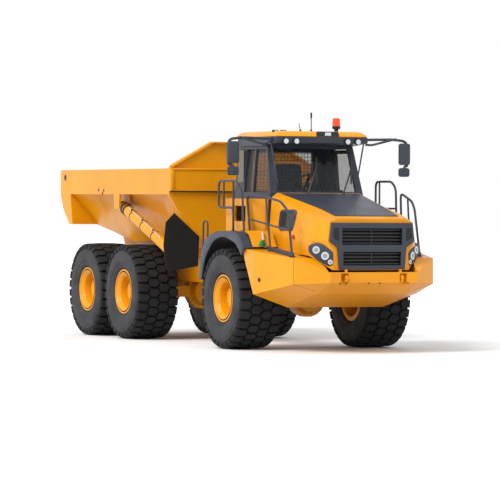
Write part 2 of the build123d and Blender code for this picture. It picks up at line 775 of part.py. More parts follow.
with BuildPart() as handrail_left:
    loop = [(385, guard_foot), (385, 2680), (950, 2680), (1100, 2570)]
    loop += [(1150, deck_z(1150) + 10)]
    tube([(x, left_loop_y, z) for x, z in loop], rail_tube)
    bar((520, left_loop_y, guard_foot), (520, left_loop_y, 2680), rail_bar)
    walk = [(1230, deck_z(1230) + 10), (1170, 2500), (1560, 2370), (1660, 2250)]
    walk += [(1850, deck_z(1850) + 10)]
    tube([(x, left_walk_y, z) for x, z in walk], rail_tube)
    bar((1420, left_walk_y, 2410), (1520, left_walk_y, deck_z(1520) + 10), rail_bar)
    foot_strip(1100, 1900, (left_loop_y + left_walk_y) / 2, 130)
    block(345, 570, left_loop_y - 40, left_loop_y + 40, guard_foot, guard_foot + 12)
    bar((385, left_loop_y, 2250), (1115, left_loop_y, 2250), rail_bar)
handrail_left.part.label = "handrail_left"
export_step(handrail_left.part, "parts/handrail_left.step")

# Mirrors on their arms, from the corners of the cab's roof.
for side_name, side in (("right", -1), ("left", 1)):
    with BuildPart() as mirror_arm:
        inner = sorted((side * (800 + seat_gap), side * 880))
        block(330, 430, *inner, 3290, 3375)
        arm = [(380, side * 860, 3340), (440, side * 1450, 3383), (455, side * 1450, 2780)]
        tube(arm, 14)
        bar((380, side * 860, 3310), (447, side * 1380, 3200), 11)
        face = sorted((side * 1410, side * 1610))
        block(445, 515, *face, 2950, 3300)
        block(445, 505, *face, 2760, 2905)
        bar((447, side * 1380, 3200), (455, side * 1460, 3200), 11)
    mirror_arm.part.label = f"mirror_{side_name}"
    export_step(mirror_arm.part, f"parts/mirror_{side_name}.step")

# Hood: a shell open at its rear and its underside, hinged at its lower front edge.
grille_opening = [(610, 1340), (610, 1990)]
lamp_seat_ahead = 2345


def hood_half(section, inset, drop):
    """Half outline of the hood at one section, drawn in by its wall."""
    station, low_y, low_z, shoulder_y, shoulder_z, top_y, top_z = section
    return [
        (low_y - inset, low_z - drop),
        (shoulder_y - inset, shoulder_z - inset / 2),
        (top_y - inset / 2, top_z - inset),
    ]


with BuildPart() as hood:
    loft_sections([(section[0], hood_half(section, 0, 0)) for section in hood_sections])
    inner_stations = [400, 1750, 2330 - hood_wall]
    inner = []
    for station, section in zip(inner_stations, hood_sections):
        inner.append((station, hood_half(section, hood_wall, 80)))
    loft_sections(inner, mode=Mode.SUBTRACT)
    prism_yz(mirrored(grille_opening), 2250, 2400, Mode.SUBTRACT)
    for side in (-1, 1):
        arm = sorted((side * 410, side * (452 - 1)))
        block(2300, hood_hinge_ahead, *arm, hood_hinge_z - 15, 1342)
        barrel_ends = sorted((side * 410, side * 451))
        bar(
            (hood_hinge_ahead, barrel_ends[0], hood_hinge_z),
            (hood_hinge_ahead, barrel_ends[1], hood_hinge_z),
            18,
        )
        pin_ends = sorted((side * 440, side * 478))
        rod(
            (hood_hinge_ahead, pin_ends[0], hood_hinge_z),
            (hood_hinge_ahead, pin_ends[1], hood_hinge_z),
            12,
        )
        vent = sorted((side * 700, side * 1000))
        block(900, 1350, *vent, 1950, 2195, Mode.SUBTRACT)
hood.part.label = "hood"
export_step(hood.part, "parts/hood.step")

# Grille: a frame round two openings with slats, set in the hood's nose.
grille_face = 2400
grille_outline = [(565, 1345), (585, 1615), (735, 1750), (700, 2028)]
grille_slots = [
    (-525, 525, 1670, 1950),
    (-510, 510, 1385, 1580),
]
with BuildPart() as grille:
    prism_yz(mirrored(grille_outline), 2330 + seat_gap, grille_face)
    prism_yz([(y, z) for y, z in mirrored([(608, 1342), (608, 1988)])], 2302, 2335)
    for y_low, y_high, z_low, z_high in grille_slots:
        block(2250, 2450, y_low, y_high, z_low, z_high, Mode.SUBTRACT)
    for y_low, y_high, z_low, z_high in grille_slots:
        slats = 5
        pitch = (z_high - z_low) / slats
        for index in range(slats):
            height = z_low + (index + 0.5) * pitch
            block(2310, 2350, y_low - 5, y_high + 5, height - 12, height + 12)
        block(2305, 2345, -10, 10, z_low - 5, z_high + 5)
grille.part.label = "grille"
export_step(grille.part, "parts/grille.step")

# Headlamps: a flat housing on each cheek of the nose.
for side_name, side in (("right", -1), ("left", 1)):
    with BuildPart() as headlamp:
        lamp_outline = [(640, 1370), (705, 1375), (740, 1500), (730, 1640), (690, 1640)]
        lamp_outline += [(620, 1560)]
        points = [(side * y, z) for y, z in lamp_outline]
        prism_yz(points, 2330 + seat_gap, 2365)
    headlamp.part.label = f"headlamp_{side_name}"
    export_step(headlamp.part, f"parts/headlamp_{side_name}.step")

# Hitch yoke: an upright barrel and pin between the lugs of the front frame, with the arms
# for the steering cylinders, and a tube on which the rear frame oscillates.
turn_gap = 5
yoke_shoulder_back = 1600
yoke_nut_back = 1960
yoke_shoulder = 40
yoke_shoulder_radius = 190
arm_plate_z = steer_z + steer_eye_height / 2 + moving_gap + 5
arm_plate = 50
with BuildPart() as hitch_yoke:
    pivot = (-pivot_back, 0)
    barrel_low = lug_low_z + pivot_lug_thickness + turn_gap
    bar((*pivot, barrel_low), (*pivot, lug_high_z - turn_gap), pivot_barrel_radius, sides=16)
    pin_top = lug_high_z + pivot_lug_thickness
    rod((*pivot, lug_low_z - 25), (*pivot, pin_top + 25), pivot_pin_radius)
    cap = pivot_pin_radius + 35
    bar((*pivot, lug_low_z - 25), (*pivot, lug_low_z - turn_gap), cap, sides=12)
    bar((*pivot, pin_top + turn_gap), (*pivot, pin_top + 25), cap, sides=12)
    nut_end = yoke_nut_back + yoke_shoulder
    rod((-pivot_back, 0, pivot_z), (-nut_end, 0, pivot_z), oscillation_radius)
    for collar_back in (yoke_shoulder_back, yoke_nut_back):
        start = (-collar_back, 0, pivot_z)
        bar(start, (-collar_back - yoke_shoulder, 0, pivot_z), yoke_shoulder_radius, sides=18)
    for side in (-1, 1):
        arm_x = -pivot_back - steer_arm_back
        arm_plan = [(-1225, 80), (arm_x + 48, 440), (arm_x - 48, 440), (-1375, 80)]
        prism_xy([(x, side * y) for x, y in arm_plan], arm_plate_z, arm_plate_z + arm_plate)
hitch_yoke.part.label = "hitch_yoke"
export_step(hitch_yoke.part, "parts/hitch_yoke.step")

# Rear frame: the collar round the yoke's tube, a cross box, two rails with cross members,
# the bogie tube, the hoist tube, the tipping pins and the rests under the body.
collar_front_back = 1650
collar_rear_back = 1950
cross_box_back = 2050
rear_rail_end = 6330
bogie_middle_back = mid_axle_back + bogie_spread / 2
bogie_z = 975
bogie_tube_radius = 80
body_rest_z = 1560
bin_rib_inner_y = 480
bin_rib_outer_y = 560
with BuildPart() as rear_frame:
    bar(
        (-collar_front_back, 0, pivot_z),
        (-cross_box_back, 0, pivot_z),
        collar_radius,
        sides=18,
    )
    block(-2250, -cross_box_back, -rail_outer, rail_outer, 760, rear_rail_top)
    for side in (-1, 1):
        edges = sorted((side * rail_half_gap, side * rail_outer))
        rail_side = [
            (-cross_box_back, rear_rail_bottom),
            (-cross_box_back, rear_rail_top),
            (-6080, rear_rail_top),
            (-6130, 1520),
            (-6270, 1520),
            (-rear_rail_end, 1440),
            (-rear_rail_end, 1330),
            (-6150, rear_rail_bottom + 120),
            (-5900, rear_rail_bottom),
        ]
        prism_xz(rail_side, *edges)
        foot = sorted((side * rail_half_gap, side * rail_outer))
        block(-hoist_low_back - 80, -hoist_low_back + 80, *foot, rear_rail_top, hoist_low_z)
        rest = sorted((side * rail_half_gap, side * bin_rib_outer_y))
        block(-2900, -2760, *rest, rear_rail_top, body_rest_z - seat_gap)
        tip = (-tip_pivot_back, side * rail_outer, tip_pivot_z)
        rod(tip, (-tip_pivot_back, side * 590, tip_pivot_z), tip_pin_radius)
        keeper = (-tip_pivot_back, side * (bin_rib_outer_y + moving_gap), tip_pivot_z)
        bar(keeper, (-tip_pivot_back, side * 590, tip_pivot_z), tip_pin_radius + 25)
        pin = (-hoist_low_back, side * (hoist_offset - 140), hoist_low_z)
        pin_end = (-hoist_low_back, side * (hoist_offset + 80), hoist_low_z)
        rod(pin, pin_end, hoist_pin_radius)
        cap = (-hoist_low_back, side * (hoist_offset + 60), hoist_low_z)
        bar(cap, pin_end, hoist_pin_radius + 20)
    for member_back in (3400, 6000):
        block(-member_back - 100, -member_back, -rail_half_gap, rail_half_gap, 1060, 1340)
    bar(
        (-hoist_low_back, -hoist_offset + 70, hoist_low_z),
        (-hoist_low_back, hoist_offset - 70, hoist_low_z),
        hoist_tube_radius,
        sides=12,
    )
    bar(
        (-bogie_middle_back, -720, bogie_z),
        (-bogie_middle_back, 720, bogie_z),
        bogie_tube_radius,
        sides=12,
    )
    bore_start = (-collar_front_back + 10, 0, pivot_z)
    bore_end = (-collar_rear_back - 5, 0, pivot_z)
    rod(bore_start, bore_end, oscillation_radius + bearing_fit, Mode.SUBTRACT)
    recess_start = (-collar_rear_back, 0, pivot_z)
    bar(recess_start, (-cross_box_back - 10, 0, pivot_z), 215, Mode.SUBTRACT, 18)
rear_frame.part.label = "rear_frame"
export_step(rear_frame.part, "parts/rear_frame.step")

# Bogie beams: walking beams on the bogie tube, with their ends on the axles' seats.
for side_name, side in (("right", -1), ("left", 1)):
    with BuildPart() as bogie_beam:
        beam_low = beam_seat_z + seat_gap
        beam_side = [
            (-mid_axle_back + 110, beam_low),
            (-mid_axle_back + 110, beam_low + 100),
            (-bogie_middle_back + 200, 1110),
            (-bogie_middle_back - 200, 1110),
            (-mid_axle_back - bogie_spread - 110, beam_low + 100),
            (-mid_axle_back - bogie_spread - 110, beam_low),
            (-mid_axle_back - bogie_spread + 110, beam_low),
            (-bogie_middle_back - 150, 850),
            (-bogie_middle_back + 150, 850),
            (-mid_axle_back - 110, beam_low),
        ]
        edges = sorted((side * (beam_offset - beam_width / 2), side * (beam_offset + beam_width / 2)))
        prism_xz(beam_side, *edges)
        bore_low = (-bogie_middle_back, edges[0] - 10, bogie_z)
        bore_high = (-bogie_middle_back, edges[1] + 10, bogie_z)
        bar(bore_low, bore_high, bogie_tube_radius + seat_gap, Mode.SUBTRACT, 12)
    bogie_beam.part.label = f"bogie_beam_{side_name}"
    export_step(bogie_beam.part, f"parts/bogie_beam_{side_name}.step")

# Dump body: a tub between two box rails, a front wall with the rock guard, a tail frame,
# ribs underneath that end in the tipping lugs, and the cheeks for the hoist cylinders.
# Columns: distance behind the front axle, half width and height at the floor, half width
# at the rails.
tub_sections = [
    (body_front_back, 840, 1700, 1330),
    (3300, 840, 1690, 1140),
    (5250, 840, 1640, 1140),
    (6200, 840, 1810, 1140),
    (6950, 850, 1930, 1310),
    (7400, 850, 2230, 1310),
]
rail_inner_y = body_half_width - 260
mouth_overrun = 300
with BuildPart() as bin_body:
    outer = []
    inner = []
    for back, floor_half, floor_z, top_half in tub_sections:
        outer.append((-back, [(floor_half, floor_z), (top_half, rail_band_bottom + 10)]))
        rise = rail_band_top + 20 - rail_band_bottom
        inner_top = (top_half - body_wall, rail_band_bottom)
        inner_side = [(floor_half - body_wall, floor_z + body_floor), inner_top]
        inner.append((-back, inner_side + [(inner_top[0], inner_top[1] + rise)]))
    loft_sections(outer)
    for side in (-1, 1):
        edges = sorted((side * rail_inner_y, side * body_half_width))
        block(
            -body_tail_back,
            -body_front_back,
            *edges,
            rail_band_bottom,
            rail_band_top,
        )
    tail_side = [
        (-body_tail_back, 2600),
        (-body_tail_back, 2450),
        (-7300, 2200),
        (-7000, 1930),
        (-6850, 1930),
        (-6980, 2600),
    ]
    prism_xz(tail_side, -body_half_width, body_half_width)
    front_inner = (-body_front_back - front_wall, inner[0][1])
    loft_sections([front_inner] + inner[1:-1] + [(-7400 - mouth_overrun, inner[-1][1])], Mode.SUBTRACT)
    front_plate = [(870, 1720), (body_half_width, 2450), (body_half_width, rail_band_top)]
    prism_yz(mirrored(front_plate), -body_front_back - front_wall, -body_front_back)
    band = [(body_half_width, 2520), (body_half_width, 2900)]
    prism_yz(mirrored(band), -body_front_back, -body_front_back + 60)
    guard = [(body_half_width, 2880), (1310, 2950), (600, guard_top)]
    prism_yz(mirrored(guard), -body_front_back - front_wall, -body_front_back)
    for side in (-1, 1):
        edges = sorted((side * (rail_inner_y - 10), side * (body_half_width + 10)))
        gate_low = (-tailgate_back, edges[0], tailgate_z)
        gate_high = (-tailgate_back, edges[1], tailgate_z)
        rod(gate_low, gate_high, tailgate_bore, Mode.SUBTRACT)
    flange = [(600, guard_top - 25), (600, guard_top)]
    prism_yz(mirrored(flange), -body_front_back, -body_front_back + 100)
    rib_side = [
        (-2700, 1715),
        (-3300, 1710),
        (-5250, 1660),
        (-6200, 1830),
        (-6500, 1870),
        (-6330, 1600),
        (-tip_pivot_back - 110, tip_pivot_z),
        (-tip_pivot_back + 110, tip_pivot_z),
        (-tip_pivot_back + 170, body_rest_z),
        (-2800, body_rest_z),
        (-2700, 1600),
    ]
    for side in (-1, 1):
        edges = sorted((side * bin_rib_inner_y, side * bin_rib_outer_y))
        prism_xz(rib_side, *edges)
        lug_low = (-tip_pivot_back, edges[0], tip_pivot_z)
        lug_high = (-tip_pivot_back, edges[1], tip_pivot_z)
        bar(lug_low, lug_high, 115, sides=16)
        rod(lug_low, lug_high, tip_pin_radius + bearing_fit, Mode.SUBTRACT)
        cheek_side = [
            (-hoist_high_back - 130, rail_band_bottom + 10),
            (-hoist_high_back - 110, hoist_high_z - 60),
            (-hoist_high_back + 110, hoist_high_z - 60),
            (-hoist_high_back + 130, rail_band_bottom + 10),
        ]
        for cheek_y in (hoist_offset - 110, body_half_width - 40):
            prism_xz(cheek_side, *sorted((side * cheek_y, side * (cheek_y + 40))))
bin_body.part.label = "bin"
export_step(bin_body.part, "parts/bin.step")

# Mud flaps hung on the body's front wall.
flap_outline = [(1260, 2150), (1410, 2000), (1450, 1620), (1410, 1280), (1350, 1180)]
flap_outline += [(830, 1270), (810, 1760)]
for side_name, side in (("right", -1), ("left", 1)):
    with BuildPart() as mud_flap:
        flap_rear = -body_front_back + seat_gap
        prism_yz([(side * y, z) for y, z in flap_outline], flap_rear, flap_rear + 25)
    mud_flap.part.label = f"mud_flap_{side_name}"
    export_step(mud_flap.part, f"parts/mud_flap_{side_name}.step")


def cylinder_plane(low, high, distance):
    """Plane across a cylinder's axis, at a distance from its low eye towards its high eye."""
    first = Vector(ahead(low[0]), low[1], low[2])
    last = Vector(ahead(high[0]), high[1], high[2])
    direction = (last - first).normalized()
    return Plane(origin=first + direction * distance, z_dir=direction)


def along(low, high, start, end, radius, mode=Mode.ADD):
    """Twelve-sided bar along a cylinder's axis, between two distances from its low eye."""
    with BuildSketch(cylinder_plane(low, high, start)) as ring:
        RegularPolygon(radius, 12, major_radius=False)
    extrude(ring.sketch, amount=end - start, mode=mode)


def span(low, high):
    """Distance between a cylinder's two eyes."""
    return Vector(*[b - a for a, b in zip(low, high)]).length


# Hoist cylinders, on both sides of the body.
hoist_barrel_length = 2180
hoist_rod_start = 150
for side_name, side in (("right", -1), ("left", 1)):
    low = (-hoist_low_back, side * hoist_offset, hoist_low_z)
    high = (-hoist_high_back, side * hoist_offset, hoist_high_z)
    eye_low = (low[0], side * hoist_offset - hoist_eye_width / 2, low[2])
    eye_high = (low[0], side * hoist_offset + hoist_eye_width / 2, low[2])
    with BuildPart() as hoist_barrel:
        bar(eye_low, eye_high, hoist_eye_radius, sides=12)
        along(low, high, 50, 110, 48)
        along(low, high, 105, hoist_barrel_length, hoist_barrel_radius)
        rod_bore = hoist_rod_radius + bearing_fit
        along(low, high, 130, hoist_barrel_length + 10, rod_bore, Mode.SUBTRACT)
        rod(eye_low, eye_high, hoist_pin_radius + bearing_fit, Mode.SUBTRACT)
    hoist_barrel.part.label = f"hoist_barrel_{side_name}"
    export_step(hoist_barrel.part, f"parts/hoist_barrel_{side_name}.step")
    eye_low = (high[0], eye_low[1], high[2])
    eye_high = (high[0], eye_high[1], high[2])
    with BuildPart() as hoist_rod:
        along(low, high, hoist_rod_start, span(low, high), hoist_rod_radius)
        bar(eye_low, eye_high, hoist_eye_radius, sides=12)
        bar(eye_low, eye_high, hoist_pin_radius, Mode.SUBTRACT, 12)
    hoist_rod.part.label = f"hoist_rod_{side_name}"
    export_step(hoist_rod.part, f"parts/hoist_rod_{side_name}.step")

# Steering cylinders, from the front frame to the arms of the hitch yoke.
steer_barrel_length = 625
steer_rod_start = 330
for side_name, side in (("right", -1), ("left", 1)):
    low = (-steer_base_back, side * steer_base_offset, steer_z)
    high = (-pivot_back - steer_arm_back, side * steer_arm_offset, steer_z)
    eye_low = (low[0], low[1], steer_z - steer_eye_height / 2)
    eye_high = (low[0], low[1], steer_z + steer_eye_height / 2)
    with BuildPart() as steer_barrel:
        bar(eye_low, eye_high, steer_eye_radius, sides=12)
        along(low, high, 30, steer_barrel_length, steer_barrel_radius)
        rod_bore = steer_rod_radius + bearing_fit
        along(low, high, 55, steer_barrel_length + 10, rod_bore, Mode.SUBTRACT)
        pin_bore = steer_pin_radius + bearing_fit
        rod((*low[:2], eye_low[2] - 10), (*low[:2], eye_high[2] + 10), pin_bore, Mode.SUBTRACT)
    steer_barrel.part.label = f"steer_barrel_{side_name}"
    export_step(steer_barrel.part, f"parts/steer_barrel_{side_name}.step")
    eye_low = (high[0], high[1], eye_low[2])
    eye_high = (high[0], high[1], eye_high[2])
    with BuildPart() as steer_rod:
        along(low, high, steer_rod_start, span(low, high), steer_rod_radius)
        bar(eye_low, eye_high, steer_eye_radius, sides=12)
        bar(eye_low, eye_high, steer_pin_radius, Mode.SUBTRACT, 12)
    steer_rod.part.label = f"steer_rod_{side_name}"
    export_step(steer_rod.part, f"parts/steer_rod_{side_name}.step")
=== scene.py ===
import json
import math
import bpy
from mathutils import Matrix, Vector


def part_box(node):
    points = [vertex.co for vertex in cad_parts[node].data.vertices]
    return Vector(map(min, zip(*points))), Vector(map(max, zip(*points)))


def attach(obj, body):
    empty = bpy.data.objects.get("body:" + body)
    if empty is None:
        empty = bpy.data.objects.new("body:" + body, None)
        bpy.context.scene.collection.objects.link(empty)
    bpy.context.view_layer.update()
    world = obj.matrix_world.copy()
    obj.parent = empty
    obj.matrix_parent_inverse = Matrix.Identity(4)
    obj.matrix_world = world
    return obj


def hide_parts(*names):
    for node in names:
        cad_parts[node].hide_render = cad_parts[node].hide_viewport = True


bl_info = {
    "name": "Articulated dump truck",
    "version": (1, 0, 0),
    "blender": (4, 5, 0),
    "location": "3D View > Sidebar > Dump Truck",
    "description": "Finishes and fine pieces of an articulated dump truck round its engineering frame",
    "category": "Object",
}

import bmesh
import bpy
from mathutils import Matrix, Vector

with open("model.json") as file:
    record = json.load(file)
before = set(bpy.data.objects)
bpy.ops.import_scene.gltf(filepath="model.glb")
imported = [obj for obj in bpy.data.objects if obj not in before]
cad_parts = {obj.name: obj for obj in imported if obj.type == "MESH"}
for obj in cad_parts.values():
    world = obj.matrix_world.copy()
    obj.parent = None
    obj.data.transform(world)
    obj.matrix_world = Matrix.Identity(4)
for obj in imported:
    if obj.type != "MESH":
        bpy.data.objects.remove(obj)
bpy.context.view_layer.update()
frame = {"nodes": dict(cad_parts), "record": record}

# Stations are metres ahead of the front axle, as in the engineering model.
FRONT_AXLE_X = 2.465
FORWARD = Vector((1.0, 0.0, 0.0))
UP = Vector((0.0, 0.0, 1.0))
SIDES = ((-1, "right"), (1, "left"))


# Materials


def linear(hex_colour):
    """An sRGB hex colour as linear red, green, blue and alpha."""
    channels = []
    for start in (1, 3, 5):
        value = int(hex_colour[start:start + 2], 16) / 255
        channels.append(value / 12.92 if value <= 0.04045 else ((value + 0.055) / 1.055) ** 2.4)
    return (*channels, 1.0)


def grey(value):
    """A linear grey as a colour."""
    return (value, value, value, 1.0)


def add_node(tree, kind, settings=None, links=None, stops=()):
    """Adds one shader node, sets its values, properties and colour stops, links its inputs."""
    node = tree.nodes.new(kind)
    for name, value in (settings or {}).items():
        if name in node.inputs:
            node.inputs[name].default_value = value
        else:
            setattr(node, name, value)
    for name, source in (links or {}).items():
        tree.links.new(source, node.inputs[name])
    for index, (position, colour) in enumerate(stops):
        element = node.color_ramp.elements[index]
        element.position, element.color = position, colour
    return node


def start_material(name):
    """An empty node material with its output, and the Object coordinates that it reads."""
    material = bpy.data.materials.new(name)
    material.use_nodes = True
    tree = material.node_tree
    tree.nodes.clear()
    output = add_node(tree, "ShaderNodeOutputMaterial")
    place = add_node(tree, "ShaderNodeTexCoord").outputs["Object"]
    return material, tree, output, place


def finish_material(tree, output, shader):
    """Links a shader to the material's output."""
    tree.links.new(shader.outputs["BSDF"], output.inputs["Surface"])


# Real sizes of the patterns in the finishes, in metres across.
TONE_DRIFT = 0.9
GLOSS_PATCH = 0.35
ORANGE_PEEL = 0.012
RUBBER_BLOOM = 0.25
RUBBER_GRAIN = 0.006
GRINDING_RING = 0.004
GLASS_DUST = 0.4
SEAT_THREAD = 0.006
SPARK_GRAIN = 0.002
PAPER_CLOUD = 0.5


def machine_enamel(name, colour, shade, gloss=0.32):
    """Two-pack enamel sprayed on steel sheet. The eye sees an even coat with faint orange
    peel, slight drifts of tone over a metre or so, and a clear gloss on top."""
    material, tree, output, place = start_material(name)
    drift, patch, peel = (
        add_node(tree, "ShaderNodeTexNoise", {"Scale": 1.0 / size, "Detail": detail}, {"Vector": place})
        for size, detail in ((TONE_DRIFT, 2.0), (GLOSS_PATCH, 3.0), (ORANGE_PEEL, 2.0))
    )
    tones = [(0.3, linear(shade)), (0.7, linear(colour))]
    tone = add_node(tree, "ShaderNodeValToRGB", None, {"Fac": drift.outputs["Fac"]}, tones)
    glosses = [(0.3, grey(gloss)), (0.7, grey(gloss + 0.1))]
    rough = add_node(tree, "ShaderNodeValToRGB", None, {"Fac": patch.outputs["Fac"]}, glosses)
    depth = {"Distance": 0.0004, "Strength": 0.5}
    relief = add_node(tree, "ShaderNodeBump", depth, {"Height": peel.outputs["Fac"]})
    shader = add_node(
        tree,
        "ShaderNodeBsdfPrincipled",
        {"Coat Weight": 0.12, "Coat Roughness": 0.12, "Specular IOR Level": 0.3},
        {
            "Base Color": tone.outputs["Color"],
            "Roughness": rough.outputs["Color"],
            "Normal": relief.outputs["Normal"],
        },
    )
    finish_material(tree, output, shader)
    return material


def moulded_rubber(name, colour, shade, roughness=0.78):
    """Moulded black rubber. The eye sees a dull skin with fine grain and a grey bloom in
    patches."""
    material, tree, output, place = start_material(name)
    bloom, grain = (
        add_node(tree, "ShaderNodeTexNoise", {"Scale": 1.0 / size, "Detail": detail}, {"Vector": place})
        for size, detail in ((RUBBER_BLOOM, 4.0), (RUBBER_GRAIN, 3.0))
    )
    tones = [(0.35, linear(shade)), (0.7, linear(colour))]
    tone = add_node(tree, "ShaderNodeValToRGB", None, {"Fac": bloom.outputs["Fac"]}, tones)
    depth = {"Distance": 0.001, "Strength": 0.6}
    relief = add_node(tree, "ShaderNodeBump", depth, {"Height": grain.outputs["Fac"]})
    shader = add_node(
        tree,
        "ShaderNodeBsdfPrincipled",
        {"Roughness": roughness, "Specular IOR Level": 0.35},
        {"Base Color": tone.outputs["Color"], "Normal": relief.outputs["Normal"]},
    )
    finish_material(tree, output, shader)
    return material


def chromed_steel(name):
    """Ground and hard-chromed steel. The eye sees a mirror with faint rings from the grinding."""
    material, tree, output, place = start_material(name)
    pattern = {"Scale": 1.0 / GRINDING_RING, "Detail": 1.0}
    rings = add_node(tree, "ShaderNodeTexNoise", pattern, {"Vector": place})
    glosses = [(0.0, grey(0.08)), (1.0, grey(0.18))]
    rough = add_node(tree, "ShaderNodeValToRGB", None, {"Fac": rings.outputs["Fac"]}, glosses)
    shader = add_node(
        tree,
        "ShaderNodeBsdfPrincipled",
        {"Base Color": linear("#D8DADC"), "Metallic": 1.0},
        {"Roughness": rough.outputs["Color"]},
    )
    finish_material(tree, output, shader)
    return material


def tinted_glass(name, colour):
    """Toughened tinted cab glass. The eye sees through it, past a clear reflection and
    faint dust."""
    material, tree, output, place = start_material(name)
    pattern = {"Scale": 1.0 / GLASS_DUST, "Detail": 1.0}
    dust = add_node(tree, "ShaderNodeTexNoise", pattern, {"Vector": place})
    glosses = [(0.3, grey(0.01)), (0.8, grey(0.03))]
    rough = add_node(tree, "ShaderNodeValToRGB", None, {"Fac": dust.outputs["Fac"]}, glosses)
    shader = add_node(
        tree,
        "ShaderNodeBsdfPrincipled",
        {"Base Color": linear(colour), "Alpha": 0.26, "IOR": 1.5, "Specular IOR Level": 0.6},
        {"Roughness": rough.outputs["Color"]},
    )
    finish_material(tree, output, shader)
    material.surface_render_method = "BLENDED"
    return material


def woven_seat_cloth(name):
    """Woven seat cloth. The eye sees a dark weave, drawn coarser than real so that it shows."""
    material, tree, output, place = start_material(name)
    weave = add_node(tree, "ShaderNodeTexVoronoi", {"Scale": 1.0 / SEAT_THREAD}, {"Vector": place})
    tones = [(0.0, linear("#24272D")), (1.0, linear("#1D1F24"))]
    tone = add_node(tree, "ShaderNodeValToRGB", None, {"Fac": weave.outputs["Distance"]}, tones)
    depth = {"Distance": 0.001, "Strength": 0.7}
    relief = add_node(tree, "ShaderNodeBump", depth, {"Height": weave.outputs["Distance"]})
    shader = add_node(
        tree,
        "ShaderNodeBsdfPrincipled",
        {"Roughness": 0.9, "Sheen Weight": 0.3},
        {"Base Color": tone.outputs["Color"], "Normal": relief.outputs["Normal"]},
    )
    finish_material(tree, output, shader)
    return material


def moulded_plastic(name, colour, roughness=0.45):
    """Moulded plastic. The eye sees one colour with the fine grain of a spark-eroded mould."""
    material, tree, output, place = start_material(name)
    pattern = {"Scale": 1.0 / SPARK_GRAIN, "Detail": 2.0}
    grain = add_node(tree, "ShaderNodeTexNoise", pattern, {"Vector": place})
    depth = {"Distance": 0.0003, "Strength": 0.5}
    relief = add_node(tree, "ShaderNodeBump", depth, {"Height": grain.outputs["Fac"]})
    shader = add_node(
        tree,
        "ShaderNodeBsdfPrincipled",
        {"Base Color": linear(colour), "Roughness": roughness},
        {"Normal": relief.outputs["Normal"]},
    )
    finish_material(tree, output, shader)
    return material


# Materials that the pieces share
MATERIALS = {}


def make_materials(settings):
    """Makes every finish of the truck."""
    yellow = settings.enamel_yellow
    MATERIALS.update(
        {
            # Enamels: glossy on the body, flatter on the grey pieces and the wheels.
            "yellow": machine_enamel("machine_enamel_yellow", yellow, "#D18600"),
            "dark": machine_enamel("machine_enamel_dark_grey", settings.enamel_grey, "#2F333D", 0.42),
            "rim": machine_enamel("wheel_enamel_yellow", yellow, "#CF8600", 0.38),
            # Rubbers: a paler side wall, a darker and duller tread, black flaps.
            "tyre": moulded_rubber("tyre_sidewall_rubber", "#3A3A3D", "#2C2C2F"),
            "tread": moulded_rubber("tyre_tread_rubber", "#1D1D1E", "#141415", 0.85),
            "flap": moulded_rubber("flap_rubber", "#15110E", "#0E0B0A", 0.75),
            "chrome": chromed_steel("chromed_rod"),
            "glass": tinted_glass("tinted_cab_glass", "#20282B"),
            "seat": woven_seat_cloth("woven_seat_cloth"),
            # Polished mouldings shine sharply, the others scatter the light.
            "beacon": moulded_plastic("amber_lens", settings.beacon_colour, 0.15),
            "black": moulded_plastic("black_moulded_plastic", "#141518", 0.5),
            "screen": moulded_plastic("radiator_screen_black", "#0F1012", 0.7),
            "headlamp": moulded_plastic("headlamp_reflector_glass", "#7F8890", 0.05),
            "lens": moulded_plastic("clear_lamp_lens", "#C3C9CF", 0.06),
            "pane": moulded_plastic("smoked_pane", "#57503F", 0.06),
            "pipe": moulded_plastic("pale_moulded_pipe", "#B8A698", 0.5),
            "green": moulded_plastic("green_moulded_cap", "#0E7A3A", 0.35),
            "reflector": moulded_plastic("red_reflector", "#B3261C", 0.2),
            # Stack enamel: body colour darkened to an orange-brown as painted shade, nearly matt, with
            # slow drifts of brown.
            "stack": machine_enamel("painted_shade_stack_enamel", "#8A5A34", "#6B4226", 0.5),
        }
    )


# Finish of each material slot in the record.
SLOT_FINISH = {
    "body_yellow": "yellow",
    "dark_grey": "dark",
    "cylinder_yellow": "yellow",
    "chrome_rod": "chrome",
    "glass": "glass",
    "rubber": "flap",
    "seat_fabric": "seat",
    "beacon_amber": "beacon",
    "tyre": "tyre",
    "rim_yellow": "rim",
}


def give_finish(obj, finish):
    """Sets the only material of an object."""
    while obj.data.materials:
        obj.data.materials.pop()
    obj.data.materials.append(MATERIALS[finish])


# Shapes

BOLT_SHOULDER, BOLT_TOP = 0.75, 0.8
# Most of a side that one rounded corner may take.
CORNER_SHARE = 0.45
# Corners nearer than this are one corner.
DOUBLES = 0.00002


def spot(distance, y, z):
    """A point given as distance ahead of the front axle, Y and height."""
    return Vector((FRONT_AXLE_X + distance, y, z))


def with_links(verts):
    """Corners with the edges and faces that hold only them."""
    inside = set(verts)
    edges = {edge for vert in inside for edge in vert.link_edges if set(edge.verts) <= inside}
    faces = {face for vert in inside for face in vert.link_faces if set(face.verts) <= inside}
    return [*inside, *edges, *faces]


def only_verts(geom):
    """The corners among what a bmesh operator gives back."""
    return [item for item in geom if isinstance(item, bmesh.types.BMVert)]


def add_ring(bm, verts):
    """Joins corners into a closed ring of edges."""
    return [bm.edges.new(pair) for pair in zip(verts, verts[1:] + verts[:1])]


def soften(bm, verts, bevel, segments=2):
    """Rounds the edges between the given corners."""
    edges = [item for item in with_links(verts) if isinstance(item, bmesh.types.BMEdge)]
    bmesh.ops.bevel(
        bm,
        geom=edges,
        offset=bevel,
        segments=segments,
        profile=0.5,
        affect="EDGES",
        material=-1,
    )


def add_block(bm, low, high, bevel=0.0):
    """A rectangular block between two corners, with rounded edges."""
    size = Matrix.Diagonal((*[abs(h - l) for l, h in zip(low, high)], 1.0))
    place = Matrix.Translation((low + high) / 2) @ size
    verts = bmesh.ops.create_cube(bm, size=1.0, matrix=place)["verts"]
    if bevel > 0:
        soften(bm, verts, bevel)
    return verts


